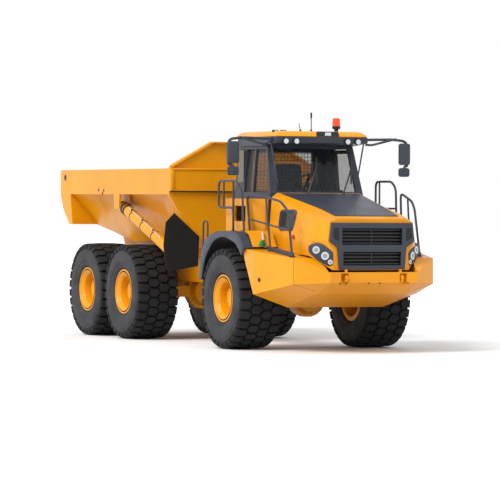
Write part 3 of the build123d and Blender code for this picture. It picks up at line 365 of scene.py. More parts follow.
def add_round(bm, start, end, radius, radius_end=None, sides=24):
    """A round or many-sided bar, or a cone, between two points."""
    direction = end - start
    turn = direction.to_track_quat("Z", "Y").to_matrix().to_4x4()
    made = bmesh.ops.create_cone(
        bm,
        cap_ends=True,
        segments=sides,
        radius1=radius,
        radius2=radius if radius_end is None else radius_end,
        depth=direction.length,
        matrix=Matrix.Translation((start + end) / 2) @ turn,
    )
    return made["verts"]


def add_bolt(bm, base, direction, size, height):
    """A hexagon head with its chamfered top."""
    shoulder = base + direction * height * BOLT_SHOULDER
    verts = add_round(bm, base, shoulder, size, sides=6)
    return verts + add_round(bm, shoulder, base + direction * height, size, size * BOLT_TOP, sides=6)


def add_prism(bm, points, push, bevel=0.0):
    """A flat outline pushed along a vector into a solid."""
    corners = [bm.verts.new(point) for point in points]
    face = bm.faces.new(corners)
    moved = only_verts(bmesh.ops.extrude_face_region(bm, geom=[face], use_keep_orig=True)["geom"])
    bmesh.ops.translate(bm, verts=moved, vec=push)
    if bevel > 0:
        soften(bm, corners + moved, bevel)
    return corners + moved


def add_turned(bm, profile, centre, steps, closed=False):
    """A profile of (y, radius) pairs turned about an axis along Y."""
    verts = [bm.verts.new(centre + Vector((0.0, y, radius))) for y, radius in profile]
    pairs = list(zip(verts, verts[1:])) + ([(verts[-1], verts[0])] if closed else [])
    edges = [bm.edges.new(pair) for pair in pairs]
    bmesh.ops.spin(
        bm,
        geom=verts + edges,
        cent=centre,
        axis=(0.0, 1.0, 0.0),
        angle=math.tau,
        steps=steps,
        use_merge=True,
    )


def repeat_round(bm, verts, count):
    """Copies what is given evenly round the wheel's axis, count in all."""
    bmesh.ops.spin(
        bm,
        geom=with_links(verts),
        cent=(0.0, 0.0, 0.0),
        axis=(0.0, 1.0, 0.0),
        angle=math.tau * (count - 1) / count,
        steps=count - 1,
        use_duplicate=True,
    )


def rounded(points, radius, closed=False, steps=4):
    """A path or outline with its corners rounded off by curves of about this radius."""
    count = len(points)
    path = [] if closed else [points[0]]
    for index in range(0 if closed else 1, count if closed else count - 1):
        corner = points[index]
        back, onward = points[index - 1] - corner, points[(index + 1) % count] - corner
        reach = min(radius, back.length * CORNER_SHARE, onward.length * CORNER_SHARE)
        first = corner + back.normalized() * reach
        last = corner + onward.normalized() * reach
        for step in range(steps + 1):
            part = step / steps
            path.append(first.lerp(corner, part).lerp(corner.lerp(last, part), part))
    return path if closed else path + [points[-1]]


def add_tube(bm, points, radius, corner=0.07, fineness=2, closed=False):
    """A bent round tube along a path, with rounded bends and closed ends."""
    curve = bpy.data.curves.new("tube_path", "CURVE")
    curve.dimensions = "3D"
    curve.bevel_depth = radius
    curve.bevel_resolution = fineness
    curve.use_fill_caps = True
    path = rounded(points, corner, closed)
    spline = curve.splines.new("POLY")
    spline.points.add(len(path) - 1)
    spline.use_cyclic_u = closed
    for point, place in zip(spline.points, path):
        point.co = (*place, 1.0)
    holder = bpy.data.objects.new("tube_path", curve)
    mesh = bpy.data.meshes.new_from_object(holder)
    bm.from_mesh(mesh)
    bpy.data.objects.remove(holder)
    bpy.data.curves.remove(curve)
    bpy.data.meshes.remove(mesh)


def rounded_profile(pairs, radius, closed, steps):
    """A rounded path or outline of (distance ahead, z) pairs."""
    path = rounded([Vector((x, 0.0, z)) for x, z in pairs], radius, closed, steps)
    return [(point.x, point.z) for point in path]


def rectangle(left, right, low, high):
    """The four corners of an upright rectangle as pairs."""
    return [(left, low), (right, low), (right, high), (left, high)]


def add_sheet(bm, rows, thickness):
    """Joins rows of points into one surface and gives it a thickness."""
    chains = []
    for row in rows:
        verts = [bm.verts.new(point) for point in row]
        chains.append([bm.edges.new(pair) for pair in zip(verts, verts[1:])])
    faces = []
    for first, second in zip(chains, chains[1:]):
        faces += bmesh.ops.bridge_loops(bm, edges=first + second)["faces"]
    bmesh.ops.recalc_face_normals(bm, faces=faces)
    bmesh.ops.solidify(bm, geom=faces, thickness=thickness)


def mirrored(pairs):
    """Half of an outline as (y, z) pairs, completed on the other side."""
    return list(pairs) + [(-y, z) for y, z in reversed(pairs)]


def add_front_plate(bm, pairs, low, high, bevel=0.0):
    """An outline of (y, z) pairs pushed along X between two distances ahead."""
    points = [spot(low, y, z) for y, z in pairs]
    return add_prism(bm, points, FORWARD * (high - low), bevel)


def add_side_plate(bm, pairs, low_y, high_y, bevel=0.0):
    """An outline of (distance ahead, z) pairs pushed along Y."""
    points = [spot(distance, low_y, z) for distance, z in pairs]
    return add_prism(bm, points, Vector((0.0, high_y - low_y, 0.0)), bevel)


def mesh_of(bm, name):
    """The mesh of a bmesh, with its doubles merged and its faces pointing outwards."""
    bmesh.ops.remove_doubles(bm, verts=bm.verts, dist=DOUBLES)
    bmesh.ops.recalc_face_normals(bm, faces=bm.faces)
    mesh = bpy.data.meshes.new(name)
    bm.to_mesh(mesh)
    bm.free()
    return mesh


def make_piece(source, name, finish, body, replaced=(), crease=35.0):
    """The object of a bmesh or mesh, with its finish, its body and the nodes it stands for.
    Edges that turn more than the crease, in degrees, stay sharp."""
    mesh = source if isinstance(source, bpy.types.Mesh) else mesh_of(source, name)
    mesh.shade_smooth()
    mesh.set_sharp_from_angle(angle=math.radians(crease))
    piece = bpy.data.objects.new(name, mesh)
    bpy.context.scene.collection.objects.link(piece)
    give_finish(piece, finish)
    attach(piece, body)
    if replaced:
        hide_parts(*replaced)
    return piece


# Wheels

CORNERS = ("front_right", "front_left", "mid_right", "mid_left", "rear_right", "rear_left")
# The tread is made flat, one pitch long, and then wrapped at this radius.
TREAD_PITCHES = 30
WRAP_RADIUS = 0.79
PITCH_LENGTH = math.tau * WRAP_RADIUS / TREAD_PITCHES
LUG_TOP = 0.802
GROOVE_FLOOR = 0.755
BLOCK_RISE, BLOCK_TAPER = 0.002, 0.93
# The crown falls by this much at this distance from the middle.
CROWN_DROP = 0.010
CROWN_HALF_WIDTH = 0.33
LUG_HALF_LENGTH = 0.060
LUG_POINT = 0.032
# Radius where the side wall's rubber ends and the tread's begins.
TREAD_EDGE = 0.722
TYRE_STEPS, RIM_STEPS = 90, 72

# Half of the tyre's section: distance from its middle plane and radius.
TYRE_HALF = [
    (0.0, 0.760), (0.20, 0.758), (0.30, 0.750), (0.338, 0.741), (0.351, 0.716), (0.3555, 0.7035),
    (0.3485, 0.7000), (0.3485, 0.6930), (0.3590, 0.6895), (0.3660, 0.664), (0.3655, 0.646),
    (0.3735, 0.639), (0.3760, 0.595), (0.3770, 0.550), (0.3755, 0.508), (0.3720, 0.492),
    (0.3630, 0.485), (0.3630, 0.472), (0.3570, 0.455), (0.3480, 0.432), (0.3500, 0.424),
    (0.3400, 0.410), (0.3240, 0.398), (0.3060, 0.391), (0.3030, 0.360), (0.3030, 0.336),
]

# Section of a shoulder lug: distance from the middle plane and radius.
SHOULDER_LUG = [
    (0.208, 0.750), (0.210, LUG_TOP), (0.325, LUG_TOP), (0.349, LUG_TOP - 0.010),
    (0.359, LUG_TOP - 0.028), (0.3665, 0.748), (0.3675, 0.715), (0.346, 0.712), (0.325, 0.740),
]

# A block of the two middle rows: distance round the tyre and across it.
MIDDLE_BLOCK = [
    (0.0, -0.010), (0.068, 0.036), (0.068, 0.148), (0.0, 0.186), (-0.068, 0.148), (-0.068, 0.036),
]


def add_tread_pitch(bm, side, shift):
    """One shoulder lug and one middle block of one side, flat: X round the tyre, Z outwards."""
    rings = []
    for station in (-1, 0, 1):
        ring = [bm.verts.new((station * LUG_HALF_LENGTH, side * y, z)) for y, z in SHOULDER_LUG]
        rings.append(ring)
    for vert in rings[1][:2]:
        vert.co.y -= side * LUG_POINT
    loops = [add_ring(bm, ring) for ring in rings]
    bmesh.ops.bridge_loops(bm, edges=loops[0] + loops[1])
    bmesh.ops.bridge_loops(bm, edges=loops[1] + loops[2])
    for ring in (rings[0], rings[2]):
        bm.faces.new(ring)
    outline = [Vector((u + PITCH_LENGTH / 2, side * y, GROOVE_FLOOR)) for u, y in MIDDLE_BLOCK]
    block = add_prism(bm, outline, UP * (LUG_TOP + BLOCK_RISE - GROOVE_FLOOR))
    top = block[len(outline):]
    centre = sum((vert.co for vert in top), Vector()) / len(top)
    for vert in top:
        vert.co = centre + (vert.co - centre) * BLOCK_TAPER
    made = [vert for ring in rings for vert in ring] + block
    bmesh.ops.translate(bm, verts=made, vec=(shift, 0.0, 0.0))


def make_tyre_mesh():
    """One tyre about the origin: ringed side walls, shoulder lugs and two rows of blocks."""
    bm = bmesh.new()
    add_tread_pitch(bm, -1, 0.0)
    add_tread_pitch(bm, 1, PITCH_LENGTH / 2)
    for vert in bm.verts:
        across = min(abs(vert.co.y) / CROWN_HALF_WIDTH, 1.0)
        radius = vert.co.z - (CROWN_DROP * across ** 2 if vert.co.z > WRAP_RADIUS else 0.0)
        angle = vert.co.x / WRAP_RADIUS
        vert.co = Vector((radius * math.sin(angle), vert.co.y, radius * math.cos(angle)))
    repeat_round(bm, bm.verts, TREAD_PITCHES)
    profile = TYRE_HALF[::-1] + [(-y, radius) for y, radius in TYRE_HALF[1:]]
    add_turned(bm, profile, Vector(), TYRE_STEPS, closed=True)
    for face in bm.faces:
        middle = face.calc_center_median()
        face.material_index = int(math.hypot(middle.x, middle.z) > TREAD_EDGE)
    return mesh_of(bm, "tyre")


# Section of the rim from the hub's face out to the bead and round to the back: distance
# outwards from the wheel's middle plane and radius.
RIM_SECTION = [
    (0.186, 0.0), (0.186, 0.098), (0.190, 0.104), (0.190, 0.160), (0.184, 0.171), (0.168, 0.179),
    (0.113, 0.184), (0.109, 0.190), (0.112, 0.236), (0.124, 0.252), (0.160, 0.259), (0.262, 0.2625),
    (0.274, 0.2675), (0.285, 0.278), (0.3235, 0.3205), (0.3290, 0.3270), (0.3280, 0.3325),
    (0.3230, 0.3330), (0.3100, 0.3330), (0.3100, 0.3530), (0.3215, 0.3530), (0.3285, 0.3580),
    (0.3290, 0.3730), (0.3230, 0.3800), (0.3140, 0.3790), (0.3060, 0.3690), (0.3060, 0.3215),
    (-0.3060, 0.3215), (-0.3060, 0.3690), (-0.3140, 0.3790), (-0.3230, 0.3790), (-0.3285, 0.3700),
    (-0.3285, 0.3050), (-0.3100, 0.2980), (-0.1200, 0.2940), (-0.1000, 0.2700), (-0.0950, 0.1450),
    (0.0405, 0.1420), (0.0405, 0.0),
]

# Rings of bolts on the rim: count, radius, seat, height and size.
RIM_BOLTS = [
    (12, 0.135, 0.189, 0.012, 0.013),
    (20, 0.213, 0.110, 0.026, 0.016),
]
PLUG_SEAT, PLUG_SIZE, PLUG_HEIGHT = 0.185, 0.034, 0.014

# Groove beside the lock ring, painted black as its shadow: its least depth outwards and its radii.
GROOVE_DEPTH = 0.3095
GROOVE_INNER, GROOVE_OUTER = 0.3320, 0.3540


def make_rim_mesh():
    """One rim about the origin, facing -Y: flange, lock ring, deep dish and planetary hub."""
    bm = bmesh.new()
    out = Vector((0.0, -1.0, 0.0))
    for count, radius, seat, height, size in RIM_BOLTS:
        bolt = add_bolt(bm, Vector((radius, -seat, 0.0)), out, size, height)
        repeat_round(bm, bolt, count)
    add_bolt(bm, out * PLUG_SEAT, out, PLUG_SIZE, PLUG_HEIGHT)
    add_turned(bm, [(-y, radius) for y, radius in RIM_SECTION], Vector(), RIM_STEPS)
    for face in bm.faces:
        middle = face.calc_center_median()
        radius = math.hypot(middle.x, middle.z)
        # Faces in the groove take the second material, black, as painted shadow.
        face.material_index = int(middle.y < -GROOVE_DEPTH and GROOVE_INNER < radius < GROOVE_OUTER)
    return mesh_of(bm, "rim")


def place_wheel_mesh(mesh, corner):
    """A copy of a wheel mesh in the place of a wheel, turned to face its own side."""
    low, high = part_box(f"tyre_{corner}")
    centre = (Vector(low) + Vector(high)) / 2
    turn = Matrix.Rotation(math.pi if corner.endswith("left") else 0.0, 4, "Z")
    placed = mesh.copy()
    placed.transform(Matrix.Translation(centre) @ turn)
    return placed


def make_wheels():
    """All six tyres and rims, each from one mesh."""
    # A rim's second material is black, for the painted shadow in its groove.
    kinds = (("tyre", make_tyre_mesh(), "tread"), ("rim", make_rim_mesh(), "black"))
    for corner in CORNERS:
        for kind, mesh, second in kinds:
            node = f"{kind}_{corner}"
            placed = place_wheel_mesh(mesh, corner)
            piece = make_piece(placed, f"dressed_{node}", kind, f"wheel_{corner}", [node])
            piece.data.materials.append(MATERIALS[second])


# Hood

# Sections of the hood: distance ahead, then half width and height from the lower edge to
# the edge of the top.
HOOD_SECTIONS = [
    (0.450, [(0.880, 1.500), (0.877, 1.650), (0.868, 1.800), (0.820, 2.420), (0.725, 2.490)]),
    (1.750, [(0.905, 1.530), (0.905, 1.600), (0.902, 1.760), (0.800, 2.165), (0.600, 2.235)]),
    (2.080, [(0.930, 1.515), (0.930, 1.600), (0.895, 1.750), (0.775, 2.085), (0.580, 2.155)]),
    (2.342, [(0.655, 1.300), (0.640, 1.560), (0.741, 1.747), (0.712, 2.040), (0.567, 2.095)]),
]
HOOD_SHEET = 0.008
HOOD_CREASE = 20.0
# The nose plate: how far its opening narrows, and how far its rim turns back.
NOSE_NARROWING, NOSE_RETURN = 0.97, 0.03
# Dark panel on the top: how far it lies over the top's edge, then its half widths by
# distance ahead.
PANEL_LIFT = 0.010
PANEL_HALF_WIDTHS = [(0.524, 0.690), (1.750, 0.575), (2.080, 0.552), (2.190, 0.545)]
# Left half of the nose's opening, as (y, z).
GRILLE_OUTLINE = [(0.558, 1.310), (0.590, 1.650), (0.727, 1.748), (0.694, 2.030)]
GRILLE_FACE = 2.398
GRILLE_BACK = 2.352
# Slots of the grille: half width, lower and upper edge and how many slats.
GRILLE_SLOTS = [(0.520, 1.690, 1.948, 5), (0.500, 1.372, 1.585, 4)]
# Whole cross bars of the grille's frame, then its posts and corner notch on the left.
GRILLE_FRAME = [
    [(-0.558, 1.310), (0.558, 1.310), (0.564, 1.374), (-0.564, 1.374)],
    [
        (-0.584, 1.583), (0.584, 1.583), (0.590, 1.650),
        (0.650, 1.692), (-0.650, 1.692), (-0.590, 1.650),
    ],
    [(-0.704, 1.946), (0.704, 1.946), (0.694, 2.030), (-0.694, 2.030)],
]
GRILLE_SIDES = [
    [(0.498, 1.370), (0.564, 1.370), (0.584, 1.587), (0.498, 1.587)],
    [(0.518, 1.688), (0.646, 1.688), (0.727, 1.748), (0.704, 1.950), (0.518, 1.950)],
]
GRILLE_NOTCH = [(0.574, 1.950), (0.666, 1.950), (0.682, 1.795), (0.574, 1.742)]


def hood_top(distance):
    """Height of the hood's top edge at a distance ahead."""
    stations = [(section[0], section[1][-1][1]) for section in HOOD_SECTIONS]
    for (near, low), (far, high) in zip(stations, stations[1:]):
        if distance <= far:
            return low + (high - low) * (distance - near) / (far - near)
    return stations[-1][1]


def make_hood():
    """The bent hood skin with its nose plate, and the dark panel on its top."""
    bm = bmesh.new()
    rows = [[spot(x, y, z) for y, z in mirrored(half)] for x, half in HOOD_SECTIONS]
    add_sheet(bm, rows, HOOD_SHEET)
    nose, opening = mirrored(HOOD_SECTIONS[-1][1]), mirrored(GRILLE_OUTLINE)
    outer = [bm.verts.new(spot(GRILLE_BACK, y, z)) for y, z in nose]
    inner = [bm.verts.new(spot(GRILLE_BACK, y * NOSE_NARROWING, z)) for y, z in opening]
    loops = [add_ring(bm, ring) for ring in (outer, inner)]
    bmesh.ops.bridge_loops(bm, edges=loops[0] + loops[1])
    lip = only_verts(bmesh.ops.extrude_edge_only(bm, edges=loops[0])["geom"])
    bmesh.ops.translate(bm, verts=lip, vec=FORWARD * -NOSE_RETURN)
    make_piece(bm, "hood_skin", "yellow", "hood", ["hood"], HOOD_CREASE)
    bm = bmesh.new()
    rows = [
        [spot(x, side * half, hood_top(x) + PANEL_LIFT) for side in (-1, 1)]
        for x, half in PANEL_HALF_WIDTHS
    ]
    add_sheet(bm, rows, HOOD_SHEET)
    make_piece(bm, "hood_top_panel", "dark", "hood")


# Air inlet in the hood's side: its edges, where its cover begins, and how far its frame
# stands out, with the dark opening and the cover beyond that.
VENT_REAR, VENT_FRONT = 0.870, 1.370
VENT_LOW, VENT_HIGH = 1.925, 2.200
VENT_DOOR = 1.130
VENT_DOOR_MARGIN = 0.02
VENT_OUT, OPENING_RISE, DOOR_RISE = 0.012, 0.012, 0.014
OPENING_DEPTH, DOOR_DEPTH, DOOR_BEVEL = 0.003, 0.010, 0.004
VENT_FRAME_RADIUS, VENT_FRAME_BEND = 0.028, 0.06
# Stop knob: distance ahead and height, how far out it starts, its run and its radii.
KNOB_PLACE = (1.440, 1.800)
KNOB_OUT, KNOB_RUN, KNOB_RISE = 0.008, 0.028, 0.006
KNOB_RADIUS, KNOB_RADIUS_END = 0.036, 0.030


def hood_side(distance, z):
    """Half width of the hood's upper side at a distance ahead and a height."""
    (near, first), (far, second) = HOOD_SECTIONS[0], HOOD_SECTIONS[1]
    part = (distance - near) / (far - near)
    low = [a + (b - a) * part for a, b in zip(first[2], second[2])]
    high = [a + (b - a) * part for a, b in zip(first[3], second[3])]
    return low[0] + (high[0] - low[0]) * (z - low[1]) / (high[1] - low[1])


def side_spot(side, distance, z, out=0.0):
    """A point on the hood's upper side."""
    return spot(distance, side * (hood_side(distance, z) + out), z)


def make_hood_vents():
    """The framed air inlets in the hood's sides, half covered, and the stop knobs."""
    edges = rectangle(VENT_REAR, VENT_FRONT, VENT_LOW, VENT_HIGH)
    door_edges = rectangle(
        VENT_DOOR, VENT_FRONT, VENT_LOW + VENT_DOOR_MARGIN, VENT_HIGH - VENT_DOOR_MARGIN
    )
    for side, name in SIDES:
        frame_bm, dark_bm, knob = bmesh.new(), bmesh.new(), bmesh.new()
        path = [side_spot(side, x, z, VENT_OUT) for x, z in edges]
        add_tube(frame_bm, path, VENT_FRAME_RADIUS, VENT_FRAME_BEND, closed=True)
        panel = [side_spot(side, x, z, VENT_OUT + OPENING_RISE) for x, z in edges]
        add_prism(dark_bm, panel, Vector((0.0, side * OPENING_DEPTH, 0.0)))
        door = [side_spot(side, x, z, VENT_OUT + DOOR_RISE) for x, z in door_edges]
        add_prism(frame_bm, door, Vector((0.0, side * DOOR_DEPTH, 0.0)), DOOR_BEVEL)
        make_piece(frame_bm, f"hood_vent_frame_{name}", "dark", "hood")
        make_piece(dark_bm, f"hood_vent_opening_{name}", "screen", "hood")
        base = side_spot(side, *KNOB_PLACE, KNOB_OUT)
        tip = base + Vector((0.0, side * KNOB_RUN, KNOB_RISE))
        add_round(knob, base, tip, KNOB_RADIUS, KNOB_RADIUS_END)
        make_piece(knob, f"stop_knob_{name}", "reflector", "hood")


def make_grille():
    """The grille's frame with rounded slats, a centre post and the radiator's screen behind."""
    bm, slat_bm = bmesh.new(), bmesh.new()
    shapes = list(GRILLE_FRAME)
    for half in GRILLE_SIDES:
        shapes += [half, [(-y, z) for y, z in half]]
    for shape in shapes:
        add_front_plate(bm, shape, GRILLE_BACK, GRILLE_FACE, 0.004)
    for half, low, high, slats in GRILLE_SLOTS:
        for index in range(slats):
            z = low + (high - low) * (index + 0.5) / slats
            add_block(slat_bm, spot(2.336, -half, z - 0.012), spot(2.364, half, z + 0.012), 0.005)
        add_block(slat_bm, spot(2.330, -0.011, low), spot(2.360, 0.011, high), 0.003)
    make_piece(bm, "grille_frame", "dark", "hood", ["grille"])
    make_piece(slat_bm, "grille_slats", "black", "hood")
    bm = bmesh.new()
    add_block(bm, spot(2.270, -0.590, 1.345), spot(2.282, 0.590, 1.985), 0.002)
    for side in (-1, 1):
        notch = [(side * y, z) for y, z in GRILLE_NOTCH]
        add_front_plate(bm, notch, GRILLE_FACE - 0.004, GRILLE_FACE + 0.001)
    make_piece(bm, "radiator_screen", "screen", "hood")


# Headlamp pod: the middle of its plane (distance ahead, y), the way that it faces, and its
# outline and lamps as distance along the cheek and height, with each lamp's radius.
LAMP_MIDDLE = (2.205, 0.800)
LAMP_FACING = (0.78, 0.625)
LAMP_OUTLINE = [
    (-0.185, 1.576), (-0.185, 1.680), (-0.064, 1.726), (0.056, 1.697), (0.200, 1.585),
    (0.207, 1.385), (0.140, 1.361), (-0.041, 1.449),
]
LAMP_LENSES = [(-0.060, 1.610, 0.052), (0.082, 1.520, 0.056), (0.165, 1.425, 0.034)]


def make_headlamps():
    """A faceted pod on each cheek of the nose with three round lamps."""
    for side, name in SIDES:
        facing = Vector((LAMP_FACING[0], side * LAMP_FACING[1], 0.0))
        along = Vector((LAMP_FACING[1], -side * LAMP_FACING[0], 0.0))
        middle = spot(LAMP_MIDDLE[0], side * LAMP_MIDDLE[1], 0.0)
        bm, lenses, rims = bmesh.new(), bmesh.new(), bmesh.new()
        outline = [middle + along * u + UP * z - facing * 0.03 for u, z in LAMP_OUTLINE]
        add_prism(bm, rounded(outline, 0.03, True, 3), facing * 0.058, 0.006)
        for u, z, radius in LAMP_LENSES:
            base = middle + along * u + UP * z + facing * 0.024
            add_round(rims, base, base + facing * 0.010, radius * 1.18, radius * 1.10, 28)
            add_round(lenses, base, base + facing * 0.014, radius * 0.86, radius * 0.60, 28)
        make_piece(bm, f"headlamp_pod_{name}", "dark", "hood", [f"headlamp_{name}"])
        make_piece(rims, f"headlamp_bezels_{name}", "chrome", "hood")
        make_piece(lenses, f"headlamp_lenses_{name}", "headlamp", "hood")


# Mudguards

# The arch's outer and inner line, as (distance ahead, z), with the radius of their bends.
GUARD_OUTER = [
    (-0.900, 1.090), (-0.860, 1.420), (-0.650, 1.760), (-0.250, 1.878),
    (0.500, 1.878), (0.700, 1.800), (0.860, 1.630),
]
GUARD_INNER = [
    (0.760, 1.500), (0.560, 1.690), (0.080, 1.800), (-0.330, 1.740), (-0.690, 1.420), (-0.790, 1.090),
]
GUARD_OUTER_BEND, GUARD_INNER_BEND, GUARD_BEND_STEPS = 0.22, 0.30, 5
GUARD_OUTER_Y, GUARD_INNER_Y = 1.490, 0.905
GUARD_LIP, GUARD_LIP_BEVEL = 0.03, 0.006
GUARD_SHEET, GUARD_SHEET_DROP, SHEET_OUTER_Y = 0.012, 0.004, 1.480
GUARD_CREASE = 30.0
# The yellow panel that bends over the front of each arch, as (distance ahead, z).
STEP_LINE = [(0.560, 1.890), (0.720, 1.835), (0.880, 1.640)]
STEP_INNER_Y, STEP_OUTER_Y, STEP_SHEET = 0.925, 1.34, 0.006
# Tank cap: its foot, then the ends and radii of its two stages. Breather pipe: its path.
CAP_FOOT = (0.880, -1.180, 1.660)
CAP_STAGES = [((0.020, 0.0, 0.050), 0.055, 0.050), ((0.030, 0.0, 0.085), 0.030, 0.028)]
CAP_SIDES = 12
PIPE_LINE = [
    (0.700, -1.100, 1.845), (0.760, -1.120, 1.860), (0.860, -1.150, 1.720), (0.900, -1.130, 1.630),
]
PIPE_RADIUS = 0.022


def make_mudguards():
    """Rounded dark mudguards over the front wheels, each with a yellow panel in front."""
    outer = rounded_profile(GUARD_OUTER, GUARD_OUTER_BEND, False, GUARD_BEND_STEPS)
    inner = rounded_profile(GUARD_INNER, GUARD_INNER_BEND, False, GUARD_BEND_STEPS)
    for side, name in SIDES:
        bm = bmesh.new()
        lip_back, lip_face = side * (GUARD_OUTER_Y - GUARD_LIP), side * GUARD_OUTER_Y
        add_side_plate(bm, outer + inner, lip_back, lip_face, GUARD_LIP_BEVEL)
        rows = [
            [spot(x, side * y, z - GUARD_SHEET_DROP) for y in (GUARD_INNER_Y, SHEET_OUTER_Y)]
            for x, z in outer
        ]
        add_sheet(bm, rows, GUARD_SHEET)
        node = f"mudguard_{name}"
        make_piece(bm, f"mudguard_shell_{name}", "dark", "tractor", [node], GUARD_CREASE)
        bm = bmesh.new()
        rows = [[spot(x, side * y, z) for y in (STEP_INNER_Y, STEP_OUTER_Y)] for x, z in STEP_LINE]
        add_sheet(bm, rows, STEP_SHEET)
        make_piece(bm, f"step_panel_{name}", "yellow", "tractor")


def make_filler():
    """The green tank cap and the pale breather pipe behind it, on the right."""
    bm = bmesh.new()
    foot = start = spot(*CAP_FOOT)
    for reach, radius, radius_end in CAP_STAGES:
        end = foot + Vector(reach)
        add_round(bm, start, end, radius, radius_end, CAP_SIDES)
        start = end
    make_piece(bm, "tank_cap", "green", "tractor")
    bm = bmesh.new()
    add_tube(bm, [spot(*place) for place in PIPE_LINE], PIPE_RADIUS)
    make_piece(bm, "breather_pipe", "pipe", "tractor")


# Rails and mirrors

# The side boxes' sloping top: where it starts, its height there and its fall a metre.
DECK_START, DECK_HEIGHT, DECK_FALL = 0.700, 1.615, 0.0964


def deck(distance):
    """Height of the side boxes' sloping top."""
    return DECK_HEIGHT - DECK_FALL * (distance - DECK_START)


def on_deck(distance):
    """The end of a rail just over the side boxes' top."""
    return (distance, deck(distance) + 0.01)


# Rails: y, tube radius, then (distance ahead, z) points.
RIGHT_LOOPS = [
    (-1.440, 0.016, [(-0.840, 1.560), (-0.840, 2.030), (-0.660, 2.030), (-0.660, 1.740)]),
    (-1.250, 0.019, [
        (-0.080, 1.880), (-0.080, 2.250), (-0.660, 2.250), (-0.660, 2.680),
        (0.020, 2.680), (0.260, 2.500), (0.340, 1.886),
    ]),
    (-1.250, 0.016, [(-0.460, 2.250), (-0.460, 2.680)]),
    (-1.250, 0.019, [(-0.080, 1.880), (-0.080, 2.680)]),
    (-1.150, 0.019, [
        (0.340, 1.886), (0.225, 2.450), (0.940, 2.425), (1.500, 2.350), (1.770, 2.200), on_deck(1.925),
    ]),
    (-1.150, 0.016, [(0.940, 2.425), on_deck(1.130)]),
    (-1.150, 0.014, [(0.301, 2.075), (1.835, 1.900)]),
]
LEFT_LOOPS = [
    (1.050, 0.019, [(0.385, 1.880), (0.385, 2.680), (0.950, 2.680), (1.100, 2.570), on_deck(1.150)]),
    (1.050, 0.016, [(0.520, 1.880), (0.520, 2.680)]),
    (1.100, 0.019, [on_deck(1.230), (1.170, 2.500), (1.560, 2.370), (1.660, 2.250), on_deck(1.850)]),
    (1.100, 0.016, [(1.420, 2.410), on_deck(1.520)]),
    (1.050, 0.016, [(0.385, 2.250), (1.115, 2.250)]),
]
RAIL_BEND = 0.10
# A tube that ends below this height stands on a foot plate of this half size.
FOOT_BELOW = 1.95
FOOT_HALF_SIZE, FOOT_BEVEL = Vector((0.045, 0.040, 0.005)), 0.002
# Kick strips beside the walkways: rear and front end, y and width.
RAILS = (
    ("right", RIGHT_LOOPS, (1.050, 1.980, -1.150, 0.030)),
    ("left", LEFT_LOOPS, (1.100, 1.900, 1.075, 0.050)),
)
KICK_HEIGHT, KICK_BEVEL = 0.07, 0.003


def make_handrails():
    """Bent tube rails with foot plates, and the kick strips beside the walkways."""
    for name, loops, (rear, front, strip_y, width) in RAILS:
        bm = bmesh.new()
        for y, radius, points in loops:
            path = [spot(x, y, z) for x, z in points]
            add_tube(bm, path, radius, RAIL_BEND)
            for end in (path[0], path[-1]):
                if end.z < FOOT_BELOW:
                    add_block(bm, end - FOOT_HALF_SIZE, end + FOOT_HALF_SIZE, FOOT_BEVEL)
        strip = [(rear, deck(rear)), (front, deck(front))]
        strip += [(x, z + KICK_HEIGHT) for x, z in reversed(strip)]
        add_side_plate(bm, strip, strip_y - width / 2, strip_y + width / 2, KICK_BEVEL)
        make_piece(bm, f"rail_loops_{name}", "dark", "tractor", [f"handrail_{name}"])


# Mirror arms: tube radius, radius of the bends and (distance ahead, y, z) points.
MIRROR_ARMS = [
    (0.022, 0.09, [
        (0.380, 0.860, 3.350), (0.430, 1.340, 3.360), (0.440, 1.580, 3.330),
        (0.445, 1.584, 2.930), (0.485, 1.510, 2.930), (0.485, 1.510, 2.800),
    ]),
    (0.018, 0.07, [(0.380, 0.860, 3.270), (0.410, 0.960, 3.265), (0.440, 1.380, 3.368)]),
    (0.013, 0.07, [(0.400, 0.820, 3.290), (0.400, 0.700, 2.640)]),
]
MIRROR_STATION = 0.462
MIRROR_INNER_Y, MIRROR_MIDDLE_Y, MIRROR_OUTER_Y = 1.410, 1.510, 1.610
# The tall mirror and the wide-angle one under it: lower and upper edge, and shell depth.
MIRROR_SHELLS = [(2.950, 3.300, 0.045), (2.760, 2.905, 0.030)]
SHELL_CORNER, SHELL_BEVEL, GLASS_CORNER = 0.045, 0.012, 0.035
# The glass is a smaller pane in the shell's back.
GLASS_WIDTH_SHARE, GLASS_HEIGHT_SHARE, GLASS_DEPTH = 0.86, 0.92, 0.004


def make_mirrors():
    """Door mirrors on bent tube arms: a tall glass over a wide-angle one, in rounded shells."""
    for side, name in SIDES:
        shells, arms, glass = bmesh.new(), bmesh.new(), bmesh.new()
        add_block(arms, spot(0.330, side * 0.801, 3.290), spot(0.430, side * 0.880, 3.375), 0.006)
        for radius, bend, points in MIRROR_ARMS:
            add_tube(arms, [spot(x, side * y, z) for x, y, z in points], radius, bend)
        for low, high, depth in MIRROR_SHELLS:
            corners = rectangle(MIRROR_INNER_Y, MIRROR_OUTER_Y, low, high)
            outline = [spot(MIRROR_STATION, side * y, z) for y, z in corners]
            add_prism(shells, rounded(outline, SHELL_CORNER, True), FORWARD * depth, SHELL_BEVEL)
            middle = (low + high) / 2
            pane = []
            for y, z in corners:
                pane_y = MIRROR_MIDDLE_Y + (y - MIRROR_MIDDLE_Y) * GLASS_WIDTH_SHARE
                pane_z = middle + (z - middle) * GLASS_HEIGHT_SHARE
                pane.append(spot(MIRROR_STATION, side * pane_y, pane_z))
            add_prism(glass, rounded(pane, GLASS_CORNER, True), FORWARD * -GLASS_DEPTH)
        make_piece(shells, f"mirror_shells_{name}", "dark", "tractor", [f"mirror_{name}"])
        make_piece(arms, f"mirror_arms_{name}", "dark", "tractor")
        make_piece(glass, f"mirror_glass_{name}", "chrome", "tractor")


# Cab

